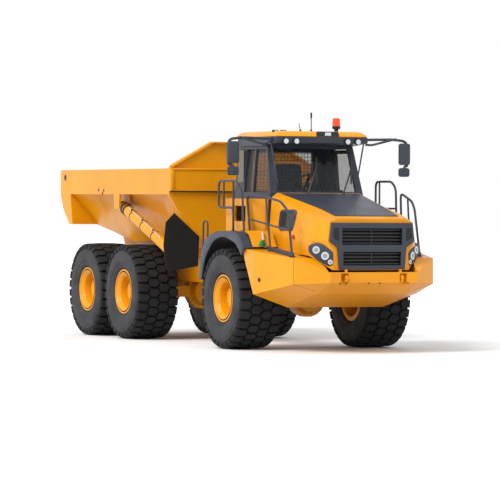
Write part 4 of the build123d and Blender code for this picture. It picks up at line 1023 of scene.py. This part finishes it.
VISOR_LAMPS = (-0.636, -0.452, 0.452, 0.636)
VISOR_FACE, VISOR_LAMP_Z = 0.556, 3.310
ROOF_LAMPS = (-0.700, -0.560)
ROOF_LAMP_HALF_SIZE = Vector((0.030, 0.045, 0.030))
# Flat pod on the roof's front edge and the sensor window in it, as (y, z).
POD_OUTLINE = [(-0.100, 3.388), (0.310, 3.388), (0.290, 3.470), (-0.080, 3.470)]
WINDOW_OUTLINE = [(0.050, 3.405), (0.160, 3.405), (0.155, 3.455), (0.055, 3.455)]


def make_cab_lamps():
    """Round work lamps under the visor, two small lamps and a flat pod on the roof's edge."""
    pods, lenses = bmesh.new(), bmesh.new()
    for y in VISOR_LAMPS:
        base = spot(VISOR_FACE, y, VISOR_LAMP_Z)
        add_round(pods, base, base + FORWARD * 0.030, 0.054, 0.050, 28)
        add_round(lenses, base + FORWARD * 0.024, base + FORWARD * 0.034, 0.043, 0.040, 28)
    for y in ROOF_LAMPS:
        base = spot(0.300, y, 3.462)
        add_block(pods, base - ROOF_LAMP_HALF_SIZE, base + ROOF_LAMP_HALF_SIZE, 0.008)
        add_round(lenses, base + FORWARD * 0.028, base + FORWARD * 0.034, 0.024, sides=20)
    add_front_plate(pods, POD_OUTLINE, 0.520, 0.565, 0.010)
    add_front_plate(lenses, WINDOW_OUTLINE, 0.560, 0.568)
    make_piece(pods, "cab_lamp_housings", "black", "tractor")
    make_piece(lenses, "cab_lamp_lenses", "lens", "tractor")


# Wipers: y of the pivot and of the blade's tip.
WIPERS = ((0.440, 0.610), (-0.180, -0.010))
# Mesh guard of the rear window: its lower and upper edge as (distance ahead, z), its half
# width, how many bars it has and where the first ones are.
GUARD_LOW, GUARD_HIGH = (-1.012, 2.515), (-0.968, 3.155)
GUARD_HALF_WIDTH = 0.560
UPRIGHT_BARS, FIRST_UPRIGHT = 19, -0.540
LEVEL_BARS, FIRST_LEVEL = 11, 2.540
BAR_SPACING, BAR_RADIUS = 0.060, 0.004


def make_wipers():
    """Two wipers, each with its pivot, bent arm and blade."""
    bm = bmesh.new()
    for y, tip in WIPERS:
        arm = [spot(0.452, y, 2.490), spot(0.425, (y + tip) / 2, 2.690), spot(0.385, tip, 2.900)]
        add_tube(bm, arm, 0.014)
        add_tube(bm, [spot(0.425, tip - 0.02, 2.640), spot(0.372, tip, 3.060)], 0.013)
        add_round(bm, spot(0.440, y, 2.470), spot(0.470, y, 2.470), 0.026, sides=16)
    make_piece(bm, "wipers", "black", "tractor")


def make_window_guard():
    """The mesh guard outside the rear window."""
    bm = bmesh.new()
    (low_x, low_z), (high_x, high_z) = GUARD_LOW, GUARD_HIGH
    for index in range(UPRIGHT_BARS):
        y = FIRST_UPRIGHT + BAR_SPACING * index
        add_tube(bm, [spot(low_x, y, low_z), spot(high_x, y, high_z)], BAR_RADIUS, fineness=0)
    for index in range(LEVEL_BARS):
        z = FIRST_LEVEL + BAR_SPACING * index
        x = low_x + (high_x - low_x) * (z - low_z) / (high_z - low_z)
        ends = [spot(x, side * GUARD_HALF_WIDTH, z) for side in (-1, 1)]
        add_tube(bm, ends, BAR_RADIUS, fineness=0)
    make_piece(bm, "rear_window_guard", "black", "tractor")


def make_whip_aerial():
    """The short leaning whip aerial on the roof."""
    bm = bmesh.new()
    foot = spot(-0.200, -0.020, 3.478)
    add_round(bm, foot, foot + UP * 0.04, 0.026, 0.010, 16)
    add_tube(bm, [foot, foot + Vector((-0.06, 0.0, 0.13))], 0.006)
    make_piece(bm, "roof_aerials", "black", "tractor")


# Roof cowl: how far each step goes in and up.
COWL_STEPS = ((0.020, 0.020), (0.070, 0.040), (0.080, 0.015))
# Upright round pieces: distance ahead and y, then lower and upper height and their radii.
AERIAL_PLACE, BEACON_PLACE, STACK_PLACE = (-0.200, 0.170), (-0.200, 0.620), (-1.110, -0.625)
AERIAL_STAGES = [(3.700, 3.788, 0.015, 0.015), (3.474, 3.520, 0.026, 0.012)]
BEACON_FOOT = [(3.440, 3.530, 0.034, 0.034), (3.528, 3.575, 0.060, 0.072)]
BEACON_DOME = [(3.575, 3.690, 0.064, 0.060), (3.690, 3.708, 0.060, 0.044)]
STACK_STAGES = [
    (1.930, 2.480, 0.045, 0.045), (2.480, 2.530, 0.045, 0.075),
    (2.530, 2.840, 0.075, 0.070), (2.840, 2.870, 0.070, 0.045),
]


def add_column(bm, place, stages, sides):
    """Round stages on one upright axis."""
    for low, high, radius, radius_end in stages:
        add_round(bm, spot(*place, low), spot(*place, high), radius, radius_end, sides)


def make_roof():
    """The cab's roof: a raised yellow cowl with rounded shoulders over a narrow brim."""
    bm = bmesh.new()
    add_block(bm, spot(-0.980, -0.800, 3.3855), spot(0.560, 0.800, 3.400))
    bm.faces.ensure_lookup_table()
    top = max(bm.faces, key=lambda face: face.calc_center_median().z)
    for inset, rise in COWL_STEPS:
        bmesh.ops.inset_region(bm, faces=[top], thickness=inset)
        bmesh.ops.translate(bm, verts=top.verts, vec=UP * rise)
    soften(bm, list(bm.verts), 0.006)
    make_piece(bm, "roof_cowl", "yellow", "tractor", ["cab_roof"], 40.0)


def make_beacon():
    """The tall aerial, and the beacon's amber dome on its black foot."""
    bm = bmesh.new()
    add_tube(bm, [spot(*AERIAL_PLACE, 3.470), spot(*AERIAL_PLACE, 3.790)], 0.008)
    add_column(bm, AERIAL_PLACE, AERIAL_STAGES, 16)
    add_column(bm, BEACON_PLACE, BEACON_FOOT, 24)
    make_piece(bm, "beacon_foot", "black", "tractor")
    bm = bmesh.new()
    add_column(bm, BEACON_PLACE, BEACON_DOME, 32)
    make_piece(bm, "beacon_dome", "beacon", "tractor", ["beacon"])


# Outline of the cab's right rear pane, as (distance ahead, z), and its rounded corners.
PANE_CORNER = 0.03
QUARTER_PANE = [(-0.668, 2.505), (-0.668, 3.185), (-0.900, 3.185), (-0.950, 2.505)]


def make_quarter_pane():
    """The smoked pane in the cab's right rear corner, in its rubber seal."""
    low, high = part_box("side_glass_rear")
    face = min(low[1], high[1]) - 0.001
    outline = rounded_profile(QUARTER_PANE, PANE_CORNER, True, 3)
    pane, seal = bmesh.new(), bmesh.new()
    add_side_plate(pane, outline, face - 0.006, face + 0.020)
    path = [spot(x, face - 0.005, z) for x, z in QUARTER_PANE]
    add_tube(seal, path, 0.007, PANE_CORNER, closed=True)
    make_piece(pane, "quarter_pane", "pane", "tractor")
    make_piece(seal, "quarter_pane_seal", "black", "tractor")


def make_stack():
    """The exhaust stack behind the cab: body-coloured steel drawn brown as painted shade, that widens
    to its silencer.
    """
    bm = bmesh.new()
    add_column(bm, STACK_PLACE, STACK_STAGES, 32)
    make_piece(bm, "exhaust_stack", "stack", "tractor")


# Seat pads: name, two corners, how far they lean back a metre, and the nodes they stand for.
SEAT_PADS = (
    ("seat_cushion", (-0.680, -0.248, 2.255), (-0.122, 0.248, 2.398), 0.0, ()),
    ("seat_back", (-0.678, -0.235, 2.402), (-0.570, 0.235, 2.985), 0.16, ("operator_seat",)),
)
# A pad's corners sink by the first share of its half size, and all of it by the second.
PAD_CROWN, PAD_SHRINK, PAD_CUTS = 0.10, 0.05, 9
PAD_CREASE = 180.0


def add_cushion(bm, low, high, lean):
    """A seat pad: a block cut fine, with crowned faces and soft edges, leant back."""
    verts = add_block(bm, low, high)
    edges = list({edge for vert in verts for edge in vert.link_edges})
    bmesh.ops.subdivide_edges(bm, edges=edges, cuts=PAD_CUTS, use_grid_fill=True)
    middle, half = (low + high) / 2, (high - low) / 2
    for vert in bm.verts:
        local = Vector([(vert.co[i] - middle[i]) / half[i] for i in range(3)])
        for axis in range(3):
            others = [local[i] for i in range(3) if i != axis]
            fall = 1 - PAD_CROWN * (others[0] ** 4 + others[1] ** 4) / 2 - PAD_SHRINK
            vert.co[axis] = middle[axis] + local[axis] * half[axis] * fall
        vert.co.x -= lean * (vert.co.z - low.z)


def make_seat():
    """The operator's seat: a padded cushion and a padded back on a dark pedestal."""
    for name, low, high, lean, replaced in SEAT_PADS:
        bm = bmesh.new()
        add_cushion(bm, spot(*low), spot(*high), lean)
        piece = make_piece(bm, name, "seat", "tractor", replaced, PAD_CREASE)
        smooth = piece.modifiers.new("soft", "SUBSURF")
        smooth.levels = smooth.render_levels = 1
    bm = bmesh.new()
    add_block(bm, spot(-0.640, -0.180, 2.002), spot(-0.200, 0.180, 2.245), 0.02)
    make_piece(bm, "seat_pedestal", "black", "tractor")


# Body and hoist details


# Round ports in the body's rails: distance ahead, z, y of their two faces, radius, sides.
BODY_PORTS = [
    (-7.210, 2.755, 1.250, 1.352, 0.055, 32),
    (-5.620, 2.535, 1.340, 1.353, 0.026, 20),
    (-5.370, 2.525, 1.340, 1.353, 0.026, 20),
    (-5.430, 2.480, 1.340, 1.353, 0.026, 20),
]
# Bolts of the hood's hinge lugs: distance ahead, z and y.
HINGE_BOLT_X, HINGE_BOLT_Z, HINGE_BOLTS_Y = 2.457, 1.100, (0.094, 0.583)


def make_body_ports():
    """Dark round ports in the rails of the dump body."""
    bm = bmesh.new()
    for side in (-1, 1):
        for x, z, inner, outer, radius, sides in BODY_PORTS:
            add_round(bm, spot(x, side * inner, z), spot(x, side * outer, z), radius, sides=sides)
    make_piece(bm, "body_ports", "black", "dump_body")


def make_bumper_fittings():
    """Bolt heads and reflectors on the bumper, and black plugs in the side boxes' holes that paint the
    shade inside them.
    """
    bm, reflectors = bmesh.new(), bmesh.new()
    for side in (-1, 1):
        for y in HINGE_BOLTS_Y:
            add_bolt(bm, spot(HINGE_BOLT_X, side * y, HINGE_BOLT_Z), FORWARD, 0.014, 0.012)
        # A solid black plug in each side box's hole: painted shade inside the hole.
        inner, outer = spot(1.250, side * 1.300, 1.130), spot(1.250, side * 1.410, 1.130)
        add_round(bm, inner, outer, 0.0315, sides=28)
        add_block(reflectors, spot(2.457, side * 0.270, 1.150), spot(2.459, side * 0.400, 1.185))
    make_piece(bm, "bumper_bolts", "black", "tractor")
    make_piece(reflectors, "bumper_reflectors", "reflector", "tractor")


# The barrels' axis on the left side, from its low eye towards its high one.
HOIST_LOW = (-2.580, 1.240, 1.500)
HOIST_HIGH = (-4.780, 1.240, 2.270)
HOIST_BARREL_RADIUS = 0.092
# Gland collars and pipe clips: distances along the barrel, and how far they stand out.
GLAND_COLLARS = ((2.030, 2.080), (2.120, 2.176))
CLIPS, CLIP_WIDTH = (0.75, 1.25, 1.75), 0.030
GLAND_RISE, CLIP_RISE = 0.012, 0.004
# Oil pipe: how far it runs off the barrel, how far its ends sink in, and where it bends.
PIPE_STANDOFF, PIPE_SINK = 0.028, 0.010
PIPE_START, PIPE_UP, PIPE_DOWN, PIPE_END = 0.45, 0.50, 1.95, 2.00


def make_hoist_fittings():
    """Black gland collars and chromed oil pipes with clips on the two hoist barrels."""
    for side, name in SIDES:
        low, high = (spot(x, side * y, z) for x, y, z in (HOIST_LOW, HOIST_HIGH))
        run = (high - low).normalized()
        rise = run.cross(Vector((0.0, side, 0.0))).normalized()
        rise = rise if rise.z > 0 else -rise
        out = (rise + Vector((0.0, side * 0.5, 0.0))).normalized()
        collars, pipe = bmesh.new(), bmesh.new()
        for start, end in GLAND_COLLARS:
            ring = HOIST_BARREL_RADIUS + GLAND_RISE
            add_round(collars, low + run * start, low + run * end, ring, sides=36)
        seat = out * (HOIST_BARREL_RADIUS + PIPE_STANDOFF)
        near = out * (HOIST_BARREL_RADIUS - PIPE_SINK)
        bends = ((near, PIPE_START), (seat, PIPE_UP), (seat, PIPE_DOWN), (near, PIPE_END))
        add_tube(pipe, [off + low + run * along for off, along in bends], 0.013, 0.03)
        for along in CLIPS:
            clip, width = low + run * along, run * CLIP_WIDTH
            add_round(collars, clip, clip + width, HOIST_BARREL_RADIUS + CLIP_RISE, sides=36)
            add_round(collars, clip + seat, clip + seat + width, 0.021, sides=16)
        make_piece(collars, f"hoist_collars_{name}", "black", f"hoist_barrel_{name}")
        make_piece(pipe, f"hoist_pipe_{name}", "chrome", f"hoist_barrel_{name}")


# Faces of the front wall and of the band across it, the band's half width and edges, and
# the flange of the rock guard as (y, z).
FRONT_WALL, BAND_FACE = -2.470, -2.410
BAND_HALF_WIDTH, BAND_LOW, BAND_HIGH = 1.345, 2.524, 2.868
FLANGE_DEPTH, FLANGE_BEVEL = 0.018, 0.004
GUARD_FLANGE = [(1.310, 2.948), (0.600, 3.336), (0.585, 3.296), (1.300, 2.906)]


def make_body_frame():
    """Flanges that frame the front wall of the body and its rock guard, and a black strip of painted
    shadow under the band.
    """
    bm = bmesh.new()
    front = BAND_FACE + FLANGE_DEPTH
    low = spot(BAND_FACE, -BAND_HALF_WIDTH, BAND_HIGH)
    add_block(bm, low, spot(front, BAND_HALF_WIDTH, 2.898), FLANGE_BEVEL)
    for side in (-1, 1):
        low = spot(BAND_FACE, side * BAND_HALF_WIDTH, BAND_LOW)
        add_block(bm, low, spot(front, side * 1.290, BAND_HIGH), FLANGE_BEVEL)
        slope = [(side * y, z) for y, z in GUARD_FLANGE]
        add_front_plate(bm, slope, FRONT_WALL, FRONT_WALL + 0.045, FLANGE_BEVEL)
    make_piece(bm, "front_wall_flanges", "yellow", "dump_body")
    # A thin black strip beneath the band's lip: painted shadow.
    bm = bmesh.new()
    low, high = spot(BAND_FACE - 0.050, -1.340, 2.500), spot(BAND_FACE - 0.010, 1.340, 2.5195)
    add_block(bm, low, high, 0.002)
    make_piece(bm, "front_wall_shadow_gap", "black", "dump_body")


# Rubber joint by the bumper: where it starts, its width and how far it stands out.
SEAM_STATION = 2.094
SEAM_WIDTH = 0.005
SEAM_RISE = 0.0015


def make_seams():
    """Dark rubber joints between the side boxes and the bumper, along the boxes' own outline."""
    for _, name in SIDES:
        bm = bmesh.new()
        bm.from_mesh(frame["nodes"][f"side_box_{name}"].data)
        bmesh.ops.remove_doubles(bm, verts=bm.verts, dist=0.00005)
        for station, keep in ((SEAM_STATION, 1), (SEAM_STATION + SEAM_WIDTH, -1)):
            bmesh.ops.bisect_plane(
                bm,
                geom=[*bm.verts, *bm.edges, *bm.faces],
                plane_co=spot(station, 0.0, 0.0),
                plane_no=(keep, 0.0, 0.0),
                clear_inner=True,
            )
        bmesh.ops.recalc_face_normals(bm, faces=bm.faces)
        bm.normal_update()
        for vert in bm.verts:
            vert.co += vert.normal * SEAM_RISE
        bmesh.ops.holes_fill(bm, edges=bm.edges, sides=0)
        make_piece(bm, f"bumper_seam_{name}", "black", "tractor")


# Stage

PAPER_DARK, PAPER_PALE = 0.74, 0.78
KEY_STRENGTH = 2.8
# Key light in degrees: from upright, round the vertical, and how wide it spreads.
KEY_TILT, KEY_TURN, KEY_SPREAD = 48, 22, 25


def make_floor(size):
    """A seamless floor of pale studio paper. The eye sees an even matt ground."""
    bm = bmesh.new()
    bmesh.ops.create_grid(bm, x_segments=1, y_segments=1, size=size / 2)
    mesh = bpy.data.meshes.new("studio_floor")
    bm.to_mesh(mesh)
    bm.free()
    floor = bpy.data.objects.new("studio_floor", mesh)
    bpy.context.scene.collection.objects.link(floor)
    material, tree, output, place = start_material("studio_paper")
    pattern = {"Scale": 1.0 / PAPER_CLOUD, "Detail": 3.0}
    cloud = add_node(tree, "ShaderNodeTexNoise", pattern, {"Vector": place})
    tones = [(0.0, grey(PAPER_DARK)), (1.0, grey(PAPER_PALE))]
    tone = add_node(tree, "ShaderNodeValToRGB", None, {"Fac": cloud.outputs["Fac"]}, tones)
    shader = add_node(
        tree,
        "ShaderNodeBsdfPrincipled",
        {"Roughness": 0.9, "Specular IOR Level": 0.1},
        {"Base Color": tone.outputs["Color"]},
    )
    finish_material(tree, output, shader)
    floor.data.materials.append(material)


def make_lights():
    """Soft white studio light: a white world and one broad key from the right front."""
    world = bpy.data.worlds.new("studio_world")
    world.use_nodes = True
    background = world.node_tree.nodes["Background"]
    background.inputs["Color"].default_value = grey(1.0)
    background.inputs["Strength"].default_value = 1.0
    bpy.context.scene.world = world
    bpy.context.scene.view_settings.view_transform = "Standard"
    key_data = bpy.data.lights.new("key", "SUN")
    key_data.energy = KEY_STRENGTH
    key_data.angle = math.radians(KEY_SPREAD)
    key = bpy.data.objects.new("key", key_data)
    key.rotation_euler = (math.radians(KEY_TILT), 0.0, math.radians(KEY_TURN))
    bpy.context.scene.collection.objects.link(key)


# Camera, solved from the photograph. Position is in the front axle's frame.
CAMERA_PLACE = (49.2886, -23.3097, 2.3375)
CAMERA_YAW = 1.1456
CAMERA_PITCH = -0.0132
CAMERA_ROLL = 0.0062
FOCAL_PIXELS = 3391.84
PHOTO_WIDTH = 500
SENSOR_WIDTH = 36.0
CAMERA_REACH = 2000.0


def make_camera():
    """A long lens at the photograph's angle."""
    data = bpy.data.cameras.new("camera")
    data.sensor_fit = "HORIZONTAL"
    data.sensor_width = SENSOR_WIDTH
    data.lens = FOCAL_PIXELS / PHOTO_WIDTH * SENSOR_WIDTH
    data.clip_end = CAMERA_REACH
    camera = bpy.data.objects.new("camera", data)
    level = Matrix.Rotation(CAMERA_YAW, 4, "Z") @ Matrix.Rotation(math.pi / 2, 4, "X")
    turn = level @ Matrix.Rotation(CAMERA_PITCH, 4, "X") @ Matrix.Rotation(CAMERA_ROLL, 4, "Z")
    camera.matrix_world = Matrix.Translation(spot(*CAMERA_PLACE)) @ turn
    bpy.context.scene.collection.objects.link(camera)
    bpy.context.scene.camera = camera


# Operators


class TruckSettings(bpy.types.PropertyGroup):
    """Colours and sizes that a user would change."""

    enamel_yellow: bpy.props.StringProperty(
        name="Body colour",
        description="Enamel of the body and the rims as an sRGB hex colour",
        default="#DC9000",
    )
    enamel_grey: bpy.props.StringProperty(
        name="Trim colour",
        description="Enamel of the grille, the rails and the mudguards as an sRGB hex colour",
        default="#373B46",
    )
    beacon_colour: bpy.props.StringProperty(
        name="Beacon colour",
        description="Lens of the beacon as an sRGB hex colour",
        default="#E8481C",
    )
    floor_size: bpy.props.FloatProperty(
        name="Floor size",
        description="Width of the studio floor",
        default=400.0,
        unit="LENGTH",
    )


class TRUCK_OT_finish_nodes(bpy.types.Operator):
    """Gives every engineering piece the finish of its material slot"""

    bl_idname = "truck.finish_nodes"
    bl_label = "Finish the engineering pieces"

    def execute(self, context):
        make_materials(context.scene.truck_settings)
        for entry in frame["record"]["subparts"]:
            obj = frame["nodes"][entry["node"]]
            give_finish(obj, SLOT_FINISH[entry["material_slot"]])
        return {"FINISHED"}


class TRUCK_OT_wheels(bpy.types.Operator):
    """Makes the treaded tyres and the bolted rims"""

    bl_idname = "truck.wheels"
    bl_label = "Wheels"

    def execute(self, context):
        make_wheels()
        return {"FINISHED"}


class TRUCK_OT_hood(bpy.types.Operator):
    """Makes the bent hood, its top panel, air inlets and stop knobs"""

    bl_idname = "truck.hood"
    bl_label = "Hood"

    def execute(self, context):
        make_hood()
        make_hood_vents()
        return {"FINISHED"}


class TRUCK_OT_grille(bpy.types.Operator):
    """Makes the grille's frame, its slats and the radiator's screen"""

    bl_idname = "truck.grille"
    bl_label = "Grille"

    def execute(self, context):
        make_grille()
        return {"FINISHED"}


class TRUCK_OT_headlamps(bpy.types.Operator):
    """Makes the headlamp pods with their bezels and lenses"""

    bl_idname = "truck.headlamps"
    bl_label = "Headlamps"

    def execute(self, context):
        make_headlamps()
        return {"FINISHED"}


class TRUCK_OT_mudguards(bpy.types.Operator):
    """Makes the front mudguards and their yellow panels"""

    bl_idname = "truck.mudguards"
    bl_label = "Mudguards"

    def execute(self, context):
        make_mudguards()
        return {"FINISHED"}


class TRUCK_OT_filler(bpy.types.Operator):
    """Makes the tank cap and the breather pipe"""

    bl_idname = "truck.filler"
    bl_label = "Tank filler"

    def execute(self, context):
        make_filler()
        return {"FINISHED"}


class TRUCK_OT_handrails(bpy.types.Operator):
    """Makes the tube rails, their foot plates and the kick strips"""

    bl_idname = "truck.handrails"
    bl_label = "Handrails"

    def execute(self, context):
        make_handrails()
        return {"FINISHED"}


class TRUCK_OT_mirrors(bpy.types.Operator):
    """Makes the mirrors with their arms"""

    bl_idname = "truck.mirrors"
    bl_label = "Mirrors"

    def execute(self, context):
        make_mirrors()
        return {"FINISHED"}


class TRUCK_OT_cab_lamps(bpy.types.Operator):
    """Makes the work lamps and the pod on the cab"""

    bl_idname = "truck.cab_lamps"
    bl_label = "Cab lamps"

    def execute(self, context):
        make_cab_lamps()
        return {"FINISHED"}


class TRUCK_OT_windows(bpy.types.Operator):
    """Makes the wipers and the rear window's guard"""

    bl_idname = "truck.windows"
    bl_label = "Wipers and window guard"

    def execute(self, context):
        make_wipers()
        make_window_guard()
        return {"FINISHED"}


class TRUCK_OT_roof(bpy.types.Operator):
    """Makes the cab's roof with its aerials and its beacon"""

    bl_idname = "truck.roof"
    bl_label = "Roof"

    def execute(self, context):
        make_whip_aerial()
        make_roof()
        make_beacon()
        return {"FINISHED"}


class TRUCK_OT_quarter_pane(bpy.types.Operator):
    """Makes the smoked pane in the cab's rear corner"""

    bl_idname = "truck.quarter_pane"
    bl_label = "Quarter pane"

    def execute(self, context):
        make_quarter_pane()
        return {"FINISHED"}


class TRUCK_OT_stack(bpy.types.Operator):
    """Makes the exhaust stack"""

    bl_idname = "truck.stack"
    bl_label = "Exhaust stack"

    def execute(self, context):
        make_stack()
        return {"FINISHED"}


class TRUCK_OT_seat(bpy.types.Operator):
    """Makes the padded seat and its pedestal"""

    bl_idname = "truck.seat"
    bl_label = "Seat"

    def execute(self, context):
        make_seat()
        return {"FINISHED"}


class TRUCK_OT_body_ports(bpy.types.Operator):
    """Makes the ports in the dump body's rails"""

    bl_idname = "truck.body_ports"
    bl_label = "Body ports"

    def execute(self, context):
        make_body_ports()
        return {"FINISHED"}


class TRUCK_OT_bumper_fittings(bpy.types.Operator):
    """Makes the bumper's bolts and reflectors"""

    bl_idname = "truck.bumper_fittings"
    bl_label = "Bumper fittings"

    def execute(self, context):
        make_bumper_fittings()
        return {"FINISHED"}


class TRUCK_OT_hoist_fittings(bpy.types.Operator):
    """Makes the collars and oil pipes of the hoist"""

    bl_idname = "truck.hoist_fittings"
    bl_label = "Hoist fittings"

    def execute(self, context):
        make_hoist_fittings()
        return {"FINISHED"}


class TRUCK_OT_body_frame(bpy.types.Operator):
    """Makes the flanges of the dump body's front wall"""

    bl_idname = "truck.body_frame"
    bl_label = "Body frame"

    def execute(self, context):
        make_body_frame()
        return {"FINISHED"}


class TRUCK_OT_seams(bpy.types.Operator):
    """Makes the rubber joints by the bumper"""

    bl_idname = "truck.seams"
    bl_label = "Seams"

    def execute(self, context):
        make_seams()
        return {"FINISHED"}


class TRUCK_OT_stage(bpy.types.Operator):
    """Makes the studio floor, the light and the camera at the photograph's angle"""

    bl_idname = "truck.stage"
    bl_label = "Stage"

    def execute(self, context):
        settings = context.scene.truck_settings
        make_floor(settings.floor_size)
        make_lights()
        make_camera()
        return {"FINISHED"}


# In the order in which main runs them.
OPERATORS = [
    TRUCK_OT_finish_nodes,
    TRUCK_OT_wheels,
    TRUCK_OT_hood,
    TRUCK_OT_grille,
    TRUCK_OT_headlamps,
    TRUCK_OT_mudguards,
    TRUCK_OT_filler,
    TRUCK_OT_handrails,
    TRUCK_OT_mirrors,
    TRUCK_OT_cab_lamps,
    TRUCK_OT_windows,
    TRUCK_OT_roof,
    TRUCK_OT_quarter_pane,
    TRUCK_OT_stack,
    TRUCK_OT_seat,
    TRUCK_OT_body_ports,
    TRUCK_OT_bumper_fittings,
    TRUCK_OT_hoist_fittings,
    TRUCK_OT_body_frame,
    TRUCK_OT_seams,
    TRUCK_OT_stage,
]


class TRUCK_PT_panel(bpy.types.Panel):
    """Lists the steps that build the truck"""

    bl_idname = "TRUCK_PT_panel"
    bl_label = "Dump Truck"
    bl_space_type = "VIEW_3D"
    bl_region_type = "UI"
    bl_category = "Dump Truck"

    def draw(self, context):
        settings = context.scene.truck_settings
        for name in ("enamel_yellow", "enamel_grey", "beacon_colour", "floor_size"):
            self.layout.prop(settings, name)
        for operator in OPERATORS:
            self.layout.operator(operator.bl_idname)


CLASSES = [TruckSettings, *OPERATORS, TRUCK_PT_panel]


def register():
    """Registers the classes and hangs the settings on the scene."""
    for cls in CLASSES:
        bpy.utils.register_class(cls)
    bpy.types.Scene.truck_settings = bpy.props.PointerProperty(type=TruckSettings)


def unregister():
    """Takes the settings and the classes away again."""
    del bpy.types.Scene.truck_settings
    for cls in reversed(CLASSES):
        bpy.utils.unregister_class(cls)


def main():
    """Builds the truck."""
    register()
    for operator in OPERATORS:
        group, action = operator.bl_idname.split(".")
        getattr(getattr(bpy.ops, group), action)()


if __name__ == "__main__":
    main()
